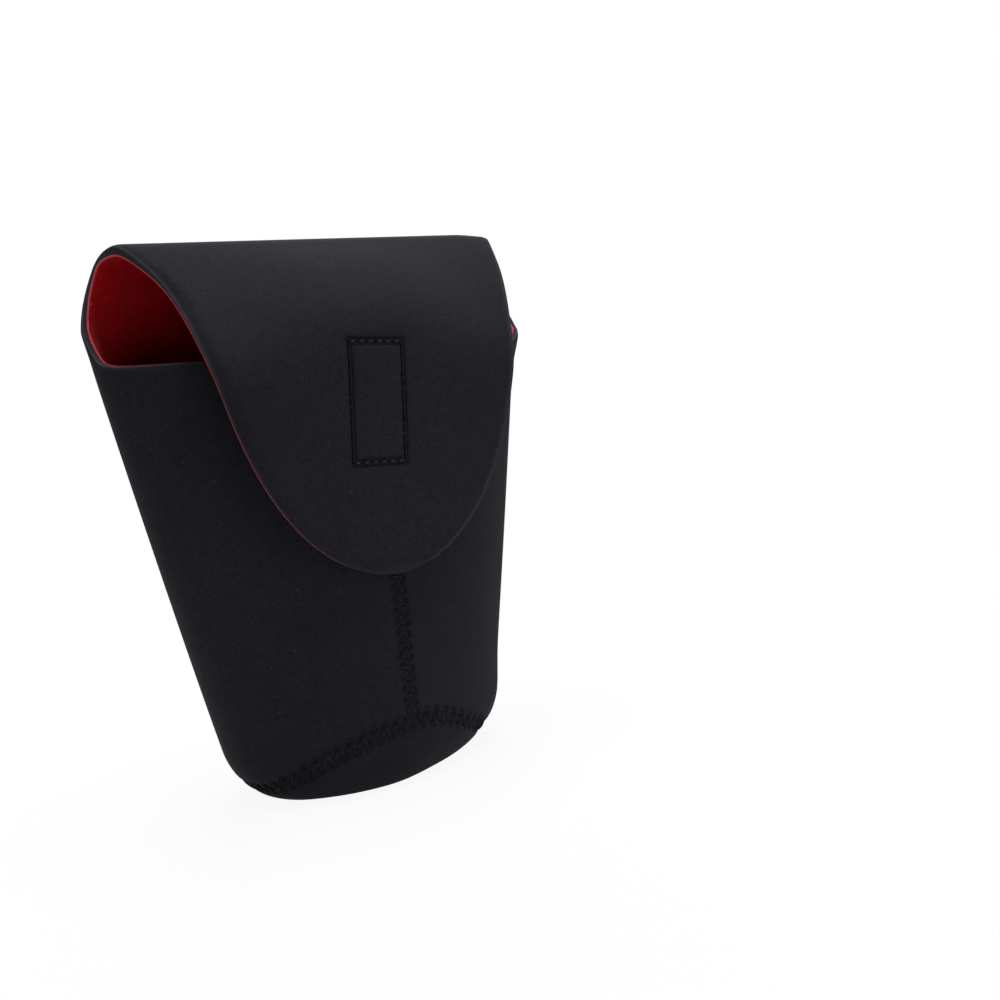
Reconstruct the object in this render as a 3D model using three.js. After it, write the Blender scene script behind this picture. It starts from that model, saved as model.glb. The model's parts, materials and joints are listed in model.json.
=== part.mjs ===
// Lens pouch: a soft foam-laminate pouch with a folded disc for a base, one wall piece closed by a
// zigzag seam down the front, and a fold-over flap that closes with hook and loop tape.
// Millimetres, +Z up, the front faces -Y, the origin is the middle of the foot it stands on.
import * as THREE from "three";

// Cloth: black knit outside, foam, red lining inside
const KNIT = 0.5;
const FOAM = 2.2;
const LINING = 0.5;
const BOND = 0.05; // left between bonded layers
const CUT_GAP = 0.3; // left between cloth edges that meet
const CLOTH = KNIT + FOAM + LINING + 2 * BOND;

// Base
const BASE_RADIUS = 46; // base disc, measured along the cloth
const BASE_HALF_WIDTH = 46;
const BASE_HALF_DEPTH = 30;
const BASE_CORNER = 22; // radius of the oval's ends
const HEEL_HEIGHT = 17; // the base rounds into the wall up to here
const FOOT_SHARE = 0.75; // flat part of the base section

// Mouth
const MOUTH_HEIGHT = 150; // height at which the mouth sizes are reached
const MOUTH_HALF_WIDTH = 77;
const MOUTH_FRONT_DEPTH = 29;
const MOUTH_BACK_DEPTH = 9;
const WIDTH_POWER = 0.93;
const DEPTH_POWER = 1.4;
const RIM_FRONT = 138.5;
const RIM_SIDE = 144;
const RIM_POWER = 5; // how late the rim starts to rise towards the sides
const SIDE_POWER = 1.25; // how it climbs on from the sides to the flap's root
const LEAN_START = 130; // the back panel leans forward above this height
const LEAN = 6.3; // forward lean LEAN_RUN above that
const LEAN_RUN = 40;

// Flap
const FOLD_HEIGHT = 175.5;
const FOLD_RADIUS = 7.5; // outside of the fold
const FOLD_HINGE = 80; // angle round the fold, from the back, where it bends most
const ROOF_RADIUS = 97;
const ROOF_LENGTH = 44; // along the cloth, from the hinge to the peel line
const BEND_RADIUS = 15.8; // outside of the bend over the front rim
const FLAP_LENGTH = 119; // along the cloth, from the hinge to the tip
const FLAP_HALF_WIDTH = 56.5;
const TIP_POWER = 2.35; // how blunt the tip is
const ROOT_FLARE = 9.5; // wider by this at the hinge
const FLARE_RUN = 17; // along the cloth
const TIP_ANGLE = 87; // the round tip is cut square this far round it
const RIM_CLEARANCE = 0.4;

// Hook and loop tape
const TAPE_WIDTH = 22;
const TAPE_LENGTH = 40;
const HOOK_TAPE = 0.8;
const LOOP_TAPE = 0.8;
const TAPE_GAP = 0.8; // between the closed tapes, for hooks, loops and stitching
const HOOK_DROP = 2.4; // top of the hook tape below the peel line, along the cloth
const LOOP_DROP = 4; // top of the loop tape below the front rim
const STITCH_INSET = 1.5; // stitching inside the tape's edge

// Thread
const THREAD_RADIUS = 0.2;
const THREAD_LIFT = 0.1; // clear of the cloth outside
const FINE_THREAD_RADIUS = 0.1; // tape stitching inside the closed flap
const INNER_LIFT = 0.5; // clear of the cloth inside, where it is hollow
const STITCH_PITCH = 3.7;
const FRONT_SEAM_WIDTH = 3.4;
const BASE_SEAM_WIDTH = 4.4;
const SEAM_END = 4; // plain ends left on the front seam

// Fineness
const ROUND_STEPS = 32;
const WALL_ROWS = 9;
const HEEL_ROWS = 4;
const FLAP_COLUMNS = 8;
const FOLD_STEP = 2.4; // greatest spacing of rows along the flap, in its fold, roof and bend
const ROOF_STEP = 7;
const BEND_STEP = 3.1;
const TIP_ROWS = 5;
const TAPE_ROWS = 6;

const { clamp, lerp, degToRad } = THREE.MathUtils;
const V = (x, y, z) => new THREE.Vector3(x, y, z);
const EPS = 1e-4;

// Half width, front and back half depth and end radius of the oval section at a height
function sizesAt(z) {
  const k = clamp(z / MOUTH_HEIGHT, 0, 1);
  const deep = (1 - k) ** DEPTH_POWER;
  const m = clamp(1 - z / HEEL_HEIGHT, 0, 1);
  const r = FOOT_SHARE + (1 - FOOT_SHARE) * Math.sqrt(1 - m * m);
  return {
    a: r * lerp(BASE_HALF_WIDTH, MOUTH_HALF_WIDTH, k ** WIDTH_POWER),
    front: r * lerp(MOUTH_FRONT_DEPTH, BASE_HALF_DEPTH, deep),
    back: r * (lerp(MOUTH_BACK_DEPTH, BASE_HALF_DEPTH, deep) + EPS),
    corner: r * lerp(BASE_CORNER, MOUTH_BACK_DEPTH, k),
  };
}

// One quarter of an oval of two arcs: from the middle of its long side, f = 0, to its end, f = 1
function quarterOval(f, a, depth, corner) {
  const c = Math.min(corner, depth * (1 - 1e-5), 0.9 * a);
  const big = ((a - c) ** 2 + depth ** 2 - c ** 2) / (2 * (depth - c));
  const turn = Math.atan2(a - c, big - depth);
  const s = f * (big * turn + c * (Math.PI / 2 - turn));
  if (s < big * turn) {
    return [big * Math.sin(s / big), big - depth - big * Math.cos(s / big)];
  }
  const g = turn + (s - big * turn) / c;
  return [a - c + c * Math.sin(g), -c * Math.cos(g)];
}

// The fold: where the leaning back panel meets the arc, and the arc's centre
const leanAt = (z) => LEAN * Math.max(0, (z - LEAN_START) / LEAN_RUN) ** 2;
function foldArc() {
  let top = FOLD_HEIGHT - FOLD_RADIUS;
  let tilt = 0;
  for (let i = 0; i < 20; i++) {
    tilt = Math.atan((2 * LEAN * Math.max(0, top - LEAN_START)) / LEAN_RUN ** 2);
    top = FOLD_HEIGHT - FOLD_RADIUS + FOLD_RADIUS * Math.sin(tilt);
  }
  const y = sizesAt(top).back - leanAt(top) - FOLD_RADIUS * Math.cos(tilt);
  return { top, tilt, y, z: FOLD_HEIGHT - FOLD_RADIUS };
}
const FOLD = foldArc();
const HINGE = degToRad(FOLD_HINGE);
const HINGE_LENGTH = FOLD.top + FOLD_RADIUS * (HINGE - FOLD.tilt);

// Outside of the pouch: u goes once round from the front middle by way of +X, e is the height, which
// past the back panel's top runs on along the fold
function bag(u, e) {
  const w = ((u % 1) + 1) % 1;
  const near = Math.min(w, 1 - w);
  const z = Math.min(e, FOLD.top);
  const q = sizesAt(z);
  const inFront = near <= 0.25;
  const f = inFront ? near / 0.25 : (0.5 - near) / 0.25;
  const [x, y] = quarterOval(f, q.a, inFront ? q.front : q.back, q.corner);
  const g = FOLD.tilt + (e - z) / FOLD_RADIUS;
  const past = e > FOLD.top ? FOLD_RADIUS * (Math.cos(g) - Math.cos(FOLD.tilt)) : 0;
  return V(
    w <= 0.5 ? x : -x,
    (inFront ? y : -y) - leanAt(z) + past,
    e > FOLD.top ? FOLD.z + FOLD_RADIUS * Math.sin(g) : z,
  );
}

// Share of the way round at which the flap's root begins, and the height of the cut edge
const FOLD_HALF_WIDTH = FLAP_HALF_WIDTH + ROOT_FLARE;
function rootShare() {
  const q = sizesAt(MOUTH_HEIGHT);
  const flat = q.a - q.corner;
  const short = flat - FOLD_HALF_WIDTH;
  const along = q.corner * Math.acos(clamp(-short / q.corner, 0, 1)) + Math.max(0, short);
  return 0.25 + (0.25 * along) / ((q.corner * Math.PI) / 2 + flat);
}
const ROOT = rootShare();
function rimAt(u) {
  const w = ((u % 1) + 1) % 1;
  const near = Math.min(w, 1 - w);
  if (near <= 0.25) {
    const rise = Math.sin((Math.PI / 2) * (near / 0.25) ** RIM_POWER) ** 2;
    return lerp(RIM_FRONT, RIM_SIDE, rise);
  }
  const t = clamp((near - 0.25) / (ROOT - 0.25), 0, 1);
  return lerp(RIM_SIDE, HINGE_LENGTH - CUT_GAP / 2, t ** SIDE_POWER);
}

// One line up the pouch from the bottom middle to the cut edge, by length along the cloth
const lines = new Map();
function lineAt(u) {
  if (lines.has(u)) return lines.get(u);
  const rim = rimAt(u);
  const foot = bag(u, 0);
  const heights = [0];
  for (let i = 1; i <= 24; i++) heights.push(HEEL_HEIGHT * (1 - Math.cos((i * Math.PI) / 48)));
  for (let i = 1; i <= 40; i++) heights.push(lerp(HEEL_HEIGHT, rim, i / 40));
  const lengths = [foot.length()];
  for (let i = 1; i < heights.length; i++) {
    lengths.push(lengths[i - 1] + bag(u, heights[i]).distanceTo(bag(u, heights[i - 1])));
  }
  const line = { foot, heights, lengths, total: lengths[lengths.length - 1] };
  lines.set(u, line);
  return line;
}
function skin(u, m) {
  const { foot, heights, lengths } = lineAt(u);
  if (m <= lengths[0]) return foot.clone().multiplyScalar(m / lengths[0]);
  let i = 1;
  while (i < lengths.length - 1 && lengths[i] < m) i++;
  const k = (m - lengths[i - 1]) / (lengths[i] - lengths[i - 1]);
  return bag(u, lerp(heights[i - 1], heights[i], k));
}
function skinNormal(u, m) {
  if (m <= lineAt(u).lengths[0]) return V(0, 0, -1);
  const du = skin(u + 2e-4, m).sub(skin(u - 2e-4, m));
  const dm = skin(u, m + 0.02).sub(skin(u, m - 0.02));
  return du.cross(dm).normalize();
}
const onSkin = (u, m) => ({ p: skin(u, m), n: skinNormal(u, m) });

// The same by x instead of u, near the front middle
function onFront(x, m) {
  const step = 1e-3;
  return onSkin((x * step) / skin(step, m).x, m);
}
const sink = (at, depth) => at.p.clone().addScaledVector(at.n, -depth);

// Flap profile: fold, roof, bend over the rim, then straight down, all arcs that run into each other
const LOOP_LIFT = THREAD_LIFT + 2 * THREAD_RADIUS + BOND; // the loop tape lies over the front seam
const STANDOFF = LOOP_LIFT + LOOP_TAPE + TAPE_GAP + HOOK_TAPE + BOND;
function flapArcs() {
  const hangs = FLAP_LENGTH - ROOF_LENGTH;
  let front = 0;
  for (let i = 0; i <= 20; i++) {
    const z = Math.max(HEEL_HEIGHT, RIM_FRONT - (i / 20) * hangs);
    front = Math.max(front, sizesAt(z).front + leanAt(z));
  }
  const face = -(front + STANDOFF + CLOTH);
  const inner = BEND_RADIUS - CLOTH - HOOK_TAPE - BOND - RIM_CLEARANCE;
  const reach = BEND_RADIUS - STANDOFF - CLOTH;
  const drop = Math.sqrt(Math.max(0, inner ** 2 - reach ** 2));
  const bend = new THREE.Vector2(face + BEND_RADIUS, RIM_FRONT - drop);
  const fold = new THREE.Vector2(FOLD.y, FOLD.z);
  const across = bend.clone().sub(fold);
  const span = across.length();
  const r1 = ROOF_RADIUS - FOLD_RADIUS;
  const r2 = ROOF_RADIUS - BEND_RADIUS;
  const k = (r1 ** 2 - r2 ** 2 + span ** 2) / (2 * span);
  const e = across.divideScalar(span);
  const n = new THREE.Vector2(-e.y, e.x);
  const roof = fold.clone().addScaledVector(e, k).addScaledVector(n, Math.sqrt(r1 ** 2 - k ** 2));
  const slope = (c) => Math.atan2(roof.x - c.x, c.y - roof.y);
  return { fold, roof, bend, face, s0: slope(fold), s1: slope(bend) };
}
const ARCS = flapArcs();
const FOLD_RUN = FOLD_RADIUS * (Math.PI / 2 + ARCS.s0 - HINGE);
const ROOF_RUN = ROOF_RADIUS * (ARCS.s1 - ARCS.s0);
const BEND_RUN = BEND_RADIUS * (Math.PI / 2 - ARCS.s1);

// Point and outward normal of the flap's outside at x and s, the length from the hinge
function onFlap(x, s) {
  const arc = (c, r, g) => ({
    p: V(x, c.x - r * Math.sin(g), c.y + r * Math.cos(g)),
    n: V(0, -Math.sin(g), Math.cos(g)),
  });
  if (s < FOLD_RUN) return arc(ARCS.fold, FOLD_RADIUS, HINGE - Math.PI / 2 + s / FOLD_RADIUS);
  const t = s - FOLD_RUN;
  if (t < ROOF_RUN) return arc(ARCS.roof, ROOF_RADIUS, ARCS.s0 + t / ROOF_RADIUS);
  const b = t - ROOF_RUN;
  if (b < BEND_RUN) return arc(ARCS.bend, BEND_RADIUS, ARCS.s1 + b / BEND_RADIUS);
  return { p: V(x, ARCS.face, ARCS.bend.y - (b - BEND_RUN)), n: V(0, -1, 0) };
}

// Half width of the flap: blunt half ellipse to the tip, and a flare that dies out from the root
function flapHalfWidth(s) {
  const blunt = Math.sqrt(1 - clamp(s / FLAP_LENGTH, 0, 1) ** TIP_POWER);
  return FLAP_HALF_WIDTH * blunt + ROOT_FLARE * Math.exp(-((s / FLARE_RUN) ** 2));
}

// A closed solid from two equal grids of points, the outer one seen from outside with its columns
// running right and its rows up. A ring closes on itself; with a pole its first row is one point.
function slab(outer, inner, { ring = false, pole = false } = {}) {
  const rows = outer.length;
  const cols = outer[0].length;
  const points = [];
  const index = [];
  const place = (grid) => grid.map((row, j) => {
    if (pole && j === 0) {
      points.push(row[0]);
      return row.map(() => points.length - 1);
    }
    return row.map((p) => points.push(p) - 1);
  });
  const o = place(outer);
  const i = place(inner);
  const tri = (a, b, c) => {
    if (a !== b && b !== c && a !== c) index.push(a, b, c);
  };
  const quad = (a, b, c, d) => {
    tri(a, b, c);
    tri(a, c, d);
  };
  const last = ring ? cols : cols - 1;
  for (let j = 0; j < rows - 1; j++) {
    for (let c = 0; c < last; c++) {
      const d = (c + 1) % cols;
      quad(o[j][c], o[j][d], o[j + 1][d], o[j + 1][c]);
      tri(i[j][c], i[j + 1][d], i[j][d]);
      tri(i[j][c], i[j + 1][c], i[j + 1][d]);
    }
  }
  for (let c = 0; c < last; c++) {
    const d = (c + 1) % cols;
    const t = rows - 1;
    quad(o[t][c], o[t][d], i[t][d], i[t][c]);
    if (!pole) quad(o[0][d], o[0][c], i[0][c], i[0][d]);
  }
  if (!ring) {
    for (let j = 0; j < rows - 1; j++) {
      const e = cols - 1;
      quad(o[j][0], o[j + 1][0], i[j + 1][0], i[j][0]);
      quad(o[j + 1][e], o[j][e], i[j][e], i[j + 1][e]);
    }
  }
  const g = new THREE.BufferGeometry();
  g.setAttribute("position", new THREE.Float32BufferAttribute(points.flatMap((p) => p.toArray()), 3));
  g.setIndex(index);
  g.computeVertexNormals();
  return g;
}

// A thin three-sided tube along points that each carry the cloth's normal
function tube(path, radius, closed) {
  const n = path.length;
  const points = [];
  const index = [];
  path.forEach((at, i) => {
    const next = path[closed ? (i + 1) % n : Math.min(i + 1, n - 1)].p;
    const before = path[closed ? (i + n - 1) % n : Math.max(i - 1, 0)].p;
    const along = next.clone().sub(before).normalize();
    const side = along.clone().cross(at.n).normalize();
    const up = side.clone().cross(along);
    for (let k = 0; k < 3; k++) {
      const g = Math.PI / 2 + (k * 2 * Math.PI) / 3;
      const out = side.clone().multiplyScalar(Math.cos(g)).addScaledVector(up, Math.sin(g));
      points.push(at.p.clone().addScaledVector(out, radius));
    }
  });
  for (let i = 0; i < (closed ? n : n - 1); i++) {
    const j = (i + 1) % n;
    for (let k = 0; k < 3; k++) {
      const l = (k + 1) % 3;
      index.push(3 * i + k, 3 * j + k, 3 * j + l, 3 * i + k, 3 * j + l, 3 * i + l);
    }
  }
  if (!closed) {
    const e = 3 * (n - 1);
    index.push(0, 1, 2, e, e + 2, e + 1);
  }
  const g = new THREE.BufferGeometry();
  g.setAttribute("position", new THREE.Float32BufferAttribute(points.flatMap((p) => p.toArray()), 3));
  g.setIndex(index);
  g.computeVertexNormals();
  return g;
}

// The three layers' depths below the outside
const LAYERS = [
  ["outer_knit", 0, KNIT],
  ["foam", KNIT + BOND, KNIT + BOND + FOAM],
  ["lining", CLOTH - LINING, CLOTH],
];

const root = new THREE.Group();
const black = { color: 0x1d1c21, roughness: 0.92, metalness: 0 };
const red = { color: 0x5c0209, roughness: 0.9, metalness: 0 };
const looks = {
  outer_knit: black,
  foam: { color: 0x17161a, roughness: 0.95, metalness: 0 },
  lining: red,
  thread: { color: 0x2b2a30, roughness: 0.7, metalness: 0 },
  tape: { color: 0x18171b, roughness: 0.85, metalness: 0 },
};
function add(name, geometry, look) {
  const mesh = new THREE.Mesh(geometry, new THREE.MeshStandardMaterial(looks[look]));
  mesh.name = name;
  root.add(mesh);
}
function addLayers(name, grid, options) {
  for (const [layer, d1, d2] of LAYERS) {
    const at = (depth) => grid.map((row) => row.map((q) => sink(q, depth)));
    add(`${name}_${layer}`, slab(at(d1), at(d2), options), layer);
  }
}

// Columns round the pouch stand closer together at its two narrow ends
const around = (i) => {
  const w = i / ROUND_STEPS;
  return w + (0.5 * Math.sin(4 * Math.PI * w)) / (4 * Math.PI);
};

// Wall: one sheet whose two edges meet at the front middle, from the base seam to the cut edge
const shareUp = (j) => {
  const t = j / WALL_ROWS;
  return t - (0.7 * Math.sin(2 * Math.PI * t)) / (2 * Math.PI);
};
const wallGrid = [];
for (let j = 0; j <= WALL_ROWS; j++) {
  const row = [];
  for (let i = 0; i <= ROUND_STEPS; i++) {
    const u = around(i);
    const m = lerp(BASE_RADIUS + CUT_GAP / 2, lineAt(u).total, shareUp(j));
    const at = onSkin(u, m);
    if (i === 0) at.p.x += CUT_GAP / 2;
    if (i === ROUND_STEPS) at.p.x -= CUT_GAP / 2;
    row.push(at);
  }
  wallGrid.push(row);
}
addLayers("wall", wallGrid);

// Base: a disc, flat over the foot and folded up round it, out to the base seam
const baseGrid = [];
for (let j = -1; j <= HEEL_ROWS; j++) {
  const row = [];
  for (let i = 0; i < ROUND_STEPS; i++) {
    const u = around(i);
    const foot = lineAt(u).lengths[0];
    const m = j < 0 ? 0 : lerp(foot, BASE_RADIUS - CUT_GAP / 2, j / HEEL_ROWS);
    row.push(onSkin(u, m));
  }
  baseGrid.push(row);
}
addLayers("base", baseGrid, { ring: true, pole: true });

// Zigzag stitching along a seam: at a share of its length it is one half width left or right of it
function zigzag(pointAt, length, width, lift, closed) {
  const steps = 2 * Math.max(2, Math.round(length / STITCH_PITCH));
  const path = [];
  for (let i = 0; i < (closed ? steps : steps + 1); i++) {
    const at = pointAt(i / steps, ((i % 2) - 0.5) * width);
    path.push({ p: sink(at, -lift), n: at.n });
  }
  return path;
}
const frontFrom = BASE_RADIUS + SEAM_END;
const frontTo = lineAt(0).total - SEAM_END;
const frontSeam = (k, off) => onFront(off, lerp(frontFrom, frontTo, k));
const baseSeam = (k, off) => onSkin(k, BASE_RADIUS + off);
let baseSeamLength = 0;
for (let i = 0; i < 120; i++) {
  baseSeamLength += skin(i / 120, BASE_RADIUS).distanceTo(skin((i + 1) / 120, BASE_RADIUS));
}
const outside = THREAD_RADIUS + THREAD_LIFT;
const inside = -(CLOTH + THREAD_RADIUS + INNER_LIFT);
const frontLength = frontTo - frontFrom;
const seams = [
  ["front_seam_thread", frontSeam, frontLength, FRONT_SEAM_WIDTH, outside, false],
  ["front_seam_inner_thread", frontSeam, frontLength, FRONT_SEAM_WIDTH, inside, false],
  ["base_seam_thread", baseSeam, baseSeamLength, BASE_SEAM_WIDTH, outside, true],
  ["base_seam_inner_thread", baseSeam, baseSeamLength, BASE_SEAM_WIDTH, inside, true],
];
for (const [name, at, length, width, lift, closed] of seams) {
  add(name, tube(zigzag(at, length, width, lift, closed), THREAD_RADIUS, closed), "thread");
}

// Flap: roof from the fold to the peel line, tongue from there to the tip; columns run from -X to +X
// and rows up, so that the outside faces out
const hookTop = ROOF_LENGTH + HOOK_DROP;
const hookEnd = hookTop + TAPE_LENGTH;
const bendFrom = FOLD_RUN + ROOF_RUN;
const bendTo = bendFrom + BEND_RUN;
const between = (from, to, n) => [...Array(n)].map((_, i) => lerp(from, to, (i + 1) / n));
const ZONES = [[0, FOLD_RUN, FOLD_STEP], [FOLD_RUN, bendFrom, ROOF_STEP], [bendFrom, bendTo, BEND_STEP]];
function rowsAlong(from, to, marks = []) {
  const inner = [...marks, ...ZONES.map((zone) => zone[1])]
    .filter((s) => s > from + CUT_GAP && s < to - CUT_GAP)
    .sort((a, b) => a - b);
  const stops = [from];
  for (const next of [...inner, to]) {
    const last = stops[stops.length - 1];
    const zone = ZONES.find(([a, b]) => (last + next) / 2 > a && (last + next) / 2 < b);
    stops.push(...between(last, next, zone ? Math.max(1, Math.ceil((next - last) / zone[2])) : 1));
  }
  return stops;
}
const flapRow = (s) => {
  const w = flapHalfWidth(s);
  return [...Array(FLAP_COLUMNS + 1)].map((_, i) => onFlap(lerp(-w, w, i / FLAP_COLUMNS), s));
};
const roofStops = rowsAlong(CUT_GAP / 2, ROOF_LENGTH - CUT_GAP / 2);
addLayers("flap_roof", roofStops.map(flapRow).reverse());

const tipFrom = Math.asin(clamp(hookEnd / FLAP_LENGTH, 0, 0.97));
const tapeStops = rowsAlong(hookTop, hookEnd, [lerp(bendTo, hookEnd, 0.5)]);
const tongueStops = [
  ...rowsAlong(ROOF_LENGTH + CUT_GAP / 2, hookTop),
  ...tapeStops.slice(1),
  ...between(tipFrom, degToRad(TIP_ANGLE), TIP_ROWS).map((t) => FLAP_LENGTH * Math.sin(t)),
];
addLayers("flap_tongue", tongueStops.map(flapRow).reverse());

// Hook tape under the tongue, and loop tape on the front wall below the rim
const sunk = (grid, depth) => grid.map((row) => row.map((at) => sink(at, depth)));
const hookGrid = tapeStops.map((s) => [-0.5, 0.5].map((k) => onFlap(k * TAPE_WIDTH, s))).reverse();
const hookFace = CLOTH + BOND + HOOK_TAPE;
add("hook_tape", slab(sunk(hookGrid, CLOTH + BOND), sunk(hookGrid, hookFace)), "tape");

const loopTop = lineAt(0).total - LOOP_DROP;
const loopEnd = loopTop - TAPE_LENGTH;
const loopFace = LOOP_LIFT + LOOP_TAPE;
const loopGrid = [loopEnd, ...between(loopEnd, loopTop, TAPE_ROWS)].map((m) =>
  [-0.5, -0.25, 0, 0.25, 0.5].map((k) => onFront(k * TAPE_WIDTH, m)),
);
add("loop_tape", slab(sunk(loopGrid, -loopFace), sunk(loopGrid, -LOOP_LIFT)), "tape");

// A closed rectangle of stitching inside a tape's edge: down one side, across, up and back
function rectangle(pointAt, from, to, lift) {
  const half = TAPE_WIDTH / 2 - STITCH_INSET;
  const corners = [[-half, from], [-half, to], [half, to], [half, from]];
  const path = [];
  corners.forEach(([x0, s0], k) => {
    const [x1, s1] = corners[(k + 1) % 4];
    const n = Math.max(2, Math.round(Math.hypot(x1 - x0, s1 - s0) / STITCH_PITCH));
    for (let i = 0; i < n; i++) {
      const at = pointAt(lerp(x0, x1, i / n), lerp(s0, s1, i / n));
      path.push({ p: sink(at, -lift), n: at.n });
    }
  });
  return path;
}
const hookStitch = (lift) => rectangle(onFlap, hookTop + STITCH_INSET, hookEnd - STITCH_INSET, lift);
const loopStitch = (lift) => rectangle(onFront, loopTop - STITCH_INSET, loopEnd + STITCH_INSET, lift);
const fine = THREAD_LIFT + FINE_THREAD_RADIUS;
const pastSeam = inside - THREAD_RADIUS - fine;
add("hook_tape_stitching", tube(hookStitch(outside), THREAD_RADIUS, true), "thread");
add("hook_tape_bobbin_thread", tube(hookStitch(-hookFace - fine), FINE_THREAD_RADIUS, true), "thread");
add("loop_tape_stitching", tube(loopStitch(loopFace + fine), FINE_THREAD_RADIUS, true), "thread");
add("loop_tape_bobbin_thread", tube(loopStitch(pastSeam), FINE_THREAD_RADIUS, true), "thread");

export default root;
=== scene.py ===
"""Lens pouch of foam laminate: black knit outside, red lining inside, a folded disc for a base,
zigzag seams at the base and down the front, and a rounded flap on hook and loop tape.

Shapes are worked out in millimetres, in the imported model's frame: +Z up, the front faces -Y and the
origin is the middle of the foot. Meshes are scaled to metres when they are made.
"""
import json
import math

import bpy
import numpy as np
from mathutils import Matrix, Vector


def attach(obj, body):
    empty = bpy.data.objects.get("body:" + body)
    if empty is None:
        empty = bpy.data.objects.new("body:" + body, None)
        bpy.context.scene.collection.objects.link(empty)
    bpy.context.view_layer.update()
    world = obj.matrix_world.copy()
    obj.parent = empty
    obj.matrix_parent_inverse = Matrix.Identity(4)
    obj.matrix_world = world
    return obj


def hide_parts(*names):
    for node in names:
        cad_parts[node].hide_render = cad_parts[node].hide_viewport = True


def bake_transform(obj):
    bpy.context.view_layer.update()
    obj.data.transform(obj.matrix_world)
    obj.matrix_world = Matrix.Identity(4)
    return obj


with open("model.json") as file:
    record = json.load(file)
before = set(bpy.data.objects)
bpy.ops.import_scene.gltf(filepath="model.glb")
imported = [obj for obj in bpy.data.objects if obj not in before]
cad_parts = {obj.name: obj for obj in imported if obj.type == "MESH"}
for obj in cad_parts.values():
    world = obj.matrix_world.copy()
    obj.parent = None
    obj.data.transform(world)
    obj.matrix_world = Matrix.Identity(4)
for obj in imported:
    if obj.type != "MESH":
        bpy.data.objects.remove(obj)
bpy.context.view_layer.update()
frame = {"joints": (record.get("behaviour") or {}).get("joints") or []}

MM = 0.001

# Cloth, outside to inside
KNIT = 0.5
FOAM = 2.2
LINING = 0.5
BOND = 0.05
CLOTH = KNIT + FOAM + LINING + 2 * BOND
FOAM_FROM = KNIT + BOND
LINING_FROM = CLOTH - LINING
EDGE_ROUND = 0.3  # rounding of a cut edge of knit
EDGE_PRESS = 0.4  # the knit and the foam are pressed down by this at the mouth's cut edge
FLAP_PRESS = 1.75  # and by this at the flap's
RIM_NIP = 0.9  # and the lining comes out towards them by this at the mouth's cut edge
FOAM_SHY = 0.12  # the foam ends this far inside the cut edge
LINING_SHY = 0.13  # the flap's lining ends this far inside it
LINING_ROUND = 0.2  # rounding of a cut edge of lining or tape
FUZZ_HIGHLIGHT_WIDTH = 0.42  # cut edges are fuzzy and paler over this width, with a painted highlight where the fibres catch the light

# Base and mouth
BASE_RADIUS = 46.0
BASE_HALF_WIDTH = 46.0
BASE_HALF_DEPTH = 30.0
BASE_CORNER = 22.0
HEEL_HEIGHT = 17.0
FOOT_SHARE = 0.75
MOUTH_HEIGHT = 150.0
MOUTH_HALF_WIDTH = 77.0
MOUTH_FRONT_DEPTH = 29.0
MOUTH_BACK_DEPTH = 9.0
WIDTH_POWER = 0.93
DEPTH_POWER = 1.4
RIM_FRONT = 138.5
RIM_SIDE = 142.6
RIM_ROUND = 6.0
LEAN_START = 130.0
LEAN = 6.3
LEAN_RUN = 40.0

# Flap
FOLD_HEIGHT = 175.5
FOLD_RADIUS = 7.5
HINGE = math.radians(80)
ROOF_RADIUS = 97.0
ROOF_LENGTH = 44.0
BEND_RADIUS = 15.8
FLAP_LENGTH = 121.0
FLAP_HALF_WIDTH = 56.5
TIP_POWER = 2.35
ROOT_FLARE = 9.5
FLARE_RUN = 15.5
FLARE_POWER = 1.6
FOLD_HALF_WIDTH = FLAP_HALF_WIDTH + ROOT_FLARE
RIM_CLEARANCE = 0.4

# Tape and thread
TAPE_WIDTH = 22.0
TAPE_LENGTH = 40.0
HOOK_TAPE = 0.8
LOOP_TAPE = 0.8
TAPE_GAP = 0.8
HOOK_DROP = 3.9
LOOP_DROP = 4.0
STITCH_INSET = 1.9
SIDE_INSET = 1.9
HOOK_WEB = 0.45  # woven part of the tape under the hooks
LOOP_WEB = 0.5  # and under the loops
BOX_TURN = math.radians(4.2)  # the hook tape is sewn on a little crooked
BOX_SHIFT = -3.2  # and to the left of the flap's middle
BOX_STITCH = 2.8  # length of a stitch round the tapes
BOX_THREAD = 0.26  # radius of the thread on the flap
FINE_THREAD = 0.13  # and of the others round the tapes
THREAD_RADIUS = 0.2
THREAD_LIFT = 0.1
STITCH_PITCH = 3.7
FRONT_SEAM_WIDTH = 3.4
BASE_SEAM_WIDTH = 4.4
SEAM_END = 4.0

# What sewing does to the cloth
KEEP_APART = 0.06  # half of what is left between the cloth edges of a sewn seam
SEAM_ROUND = 0.7  # rounding of the knit's edges there
SEAM_SHADE = 0.45  # the lining gets painted shade in a seam over this width
SEAM_VALLEY = 0.42  # depth of the valley along a zigzag
HOLE_DEPTH = 0.95  # depth of a needle hole
HOLE_RADIUS = 0.95
SEAM_SINK = 1.3  # the foam is sunk by this under a seam
LINING_VALLEY = 0.3  # and the lining is drawn out by this

# Lengths from a seam and from the mouth's cut edge at which the wall and the base have rows of points
KNIT_ROWS = [0.01, 0.12, 0.3, 0.65, 1.1, 1.6, 2.2, 2.8, 3.4, 4.0, 4.7, 5.5]
FOAM_ROWS = [0.02, 1.0, 2.5, 4.5, 7.0]
LINING_ROWS = [0.02, 0.5, 1.2, 2.2, 3.5, 5.0]
RIM_ROWS = [3.2, 2.3, 1.6, 1.0, 0.5]
# Lengths from the flap's cut edge at which it has columns of points
EDGE_SHARES = np.array([0.0, 0.04, 0.12, 0.3, 0.6, 1.0, 1.5, 2.1, 2.8, 3.6])
FAR = 99.0  # a length that stands for not near a seam
GOLDEN = 2.39996  # the golden angle, which spreads things without a pattern

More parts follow.
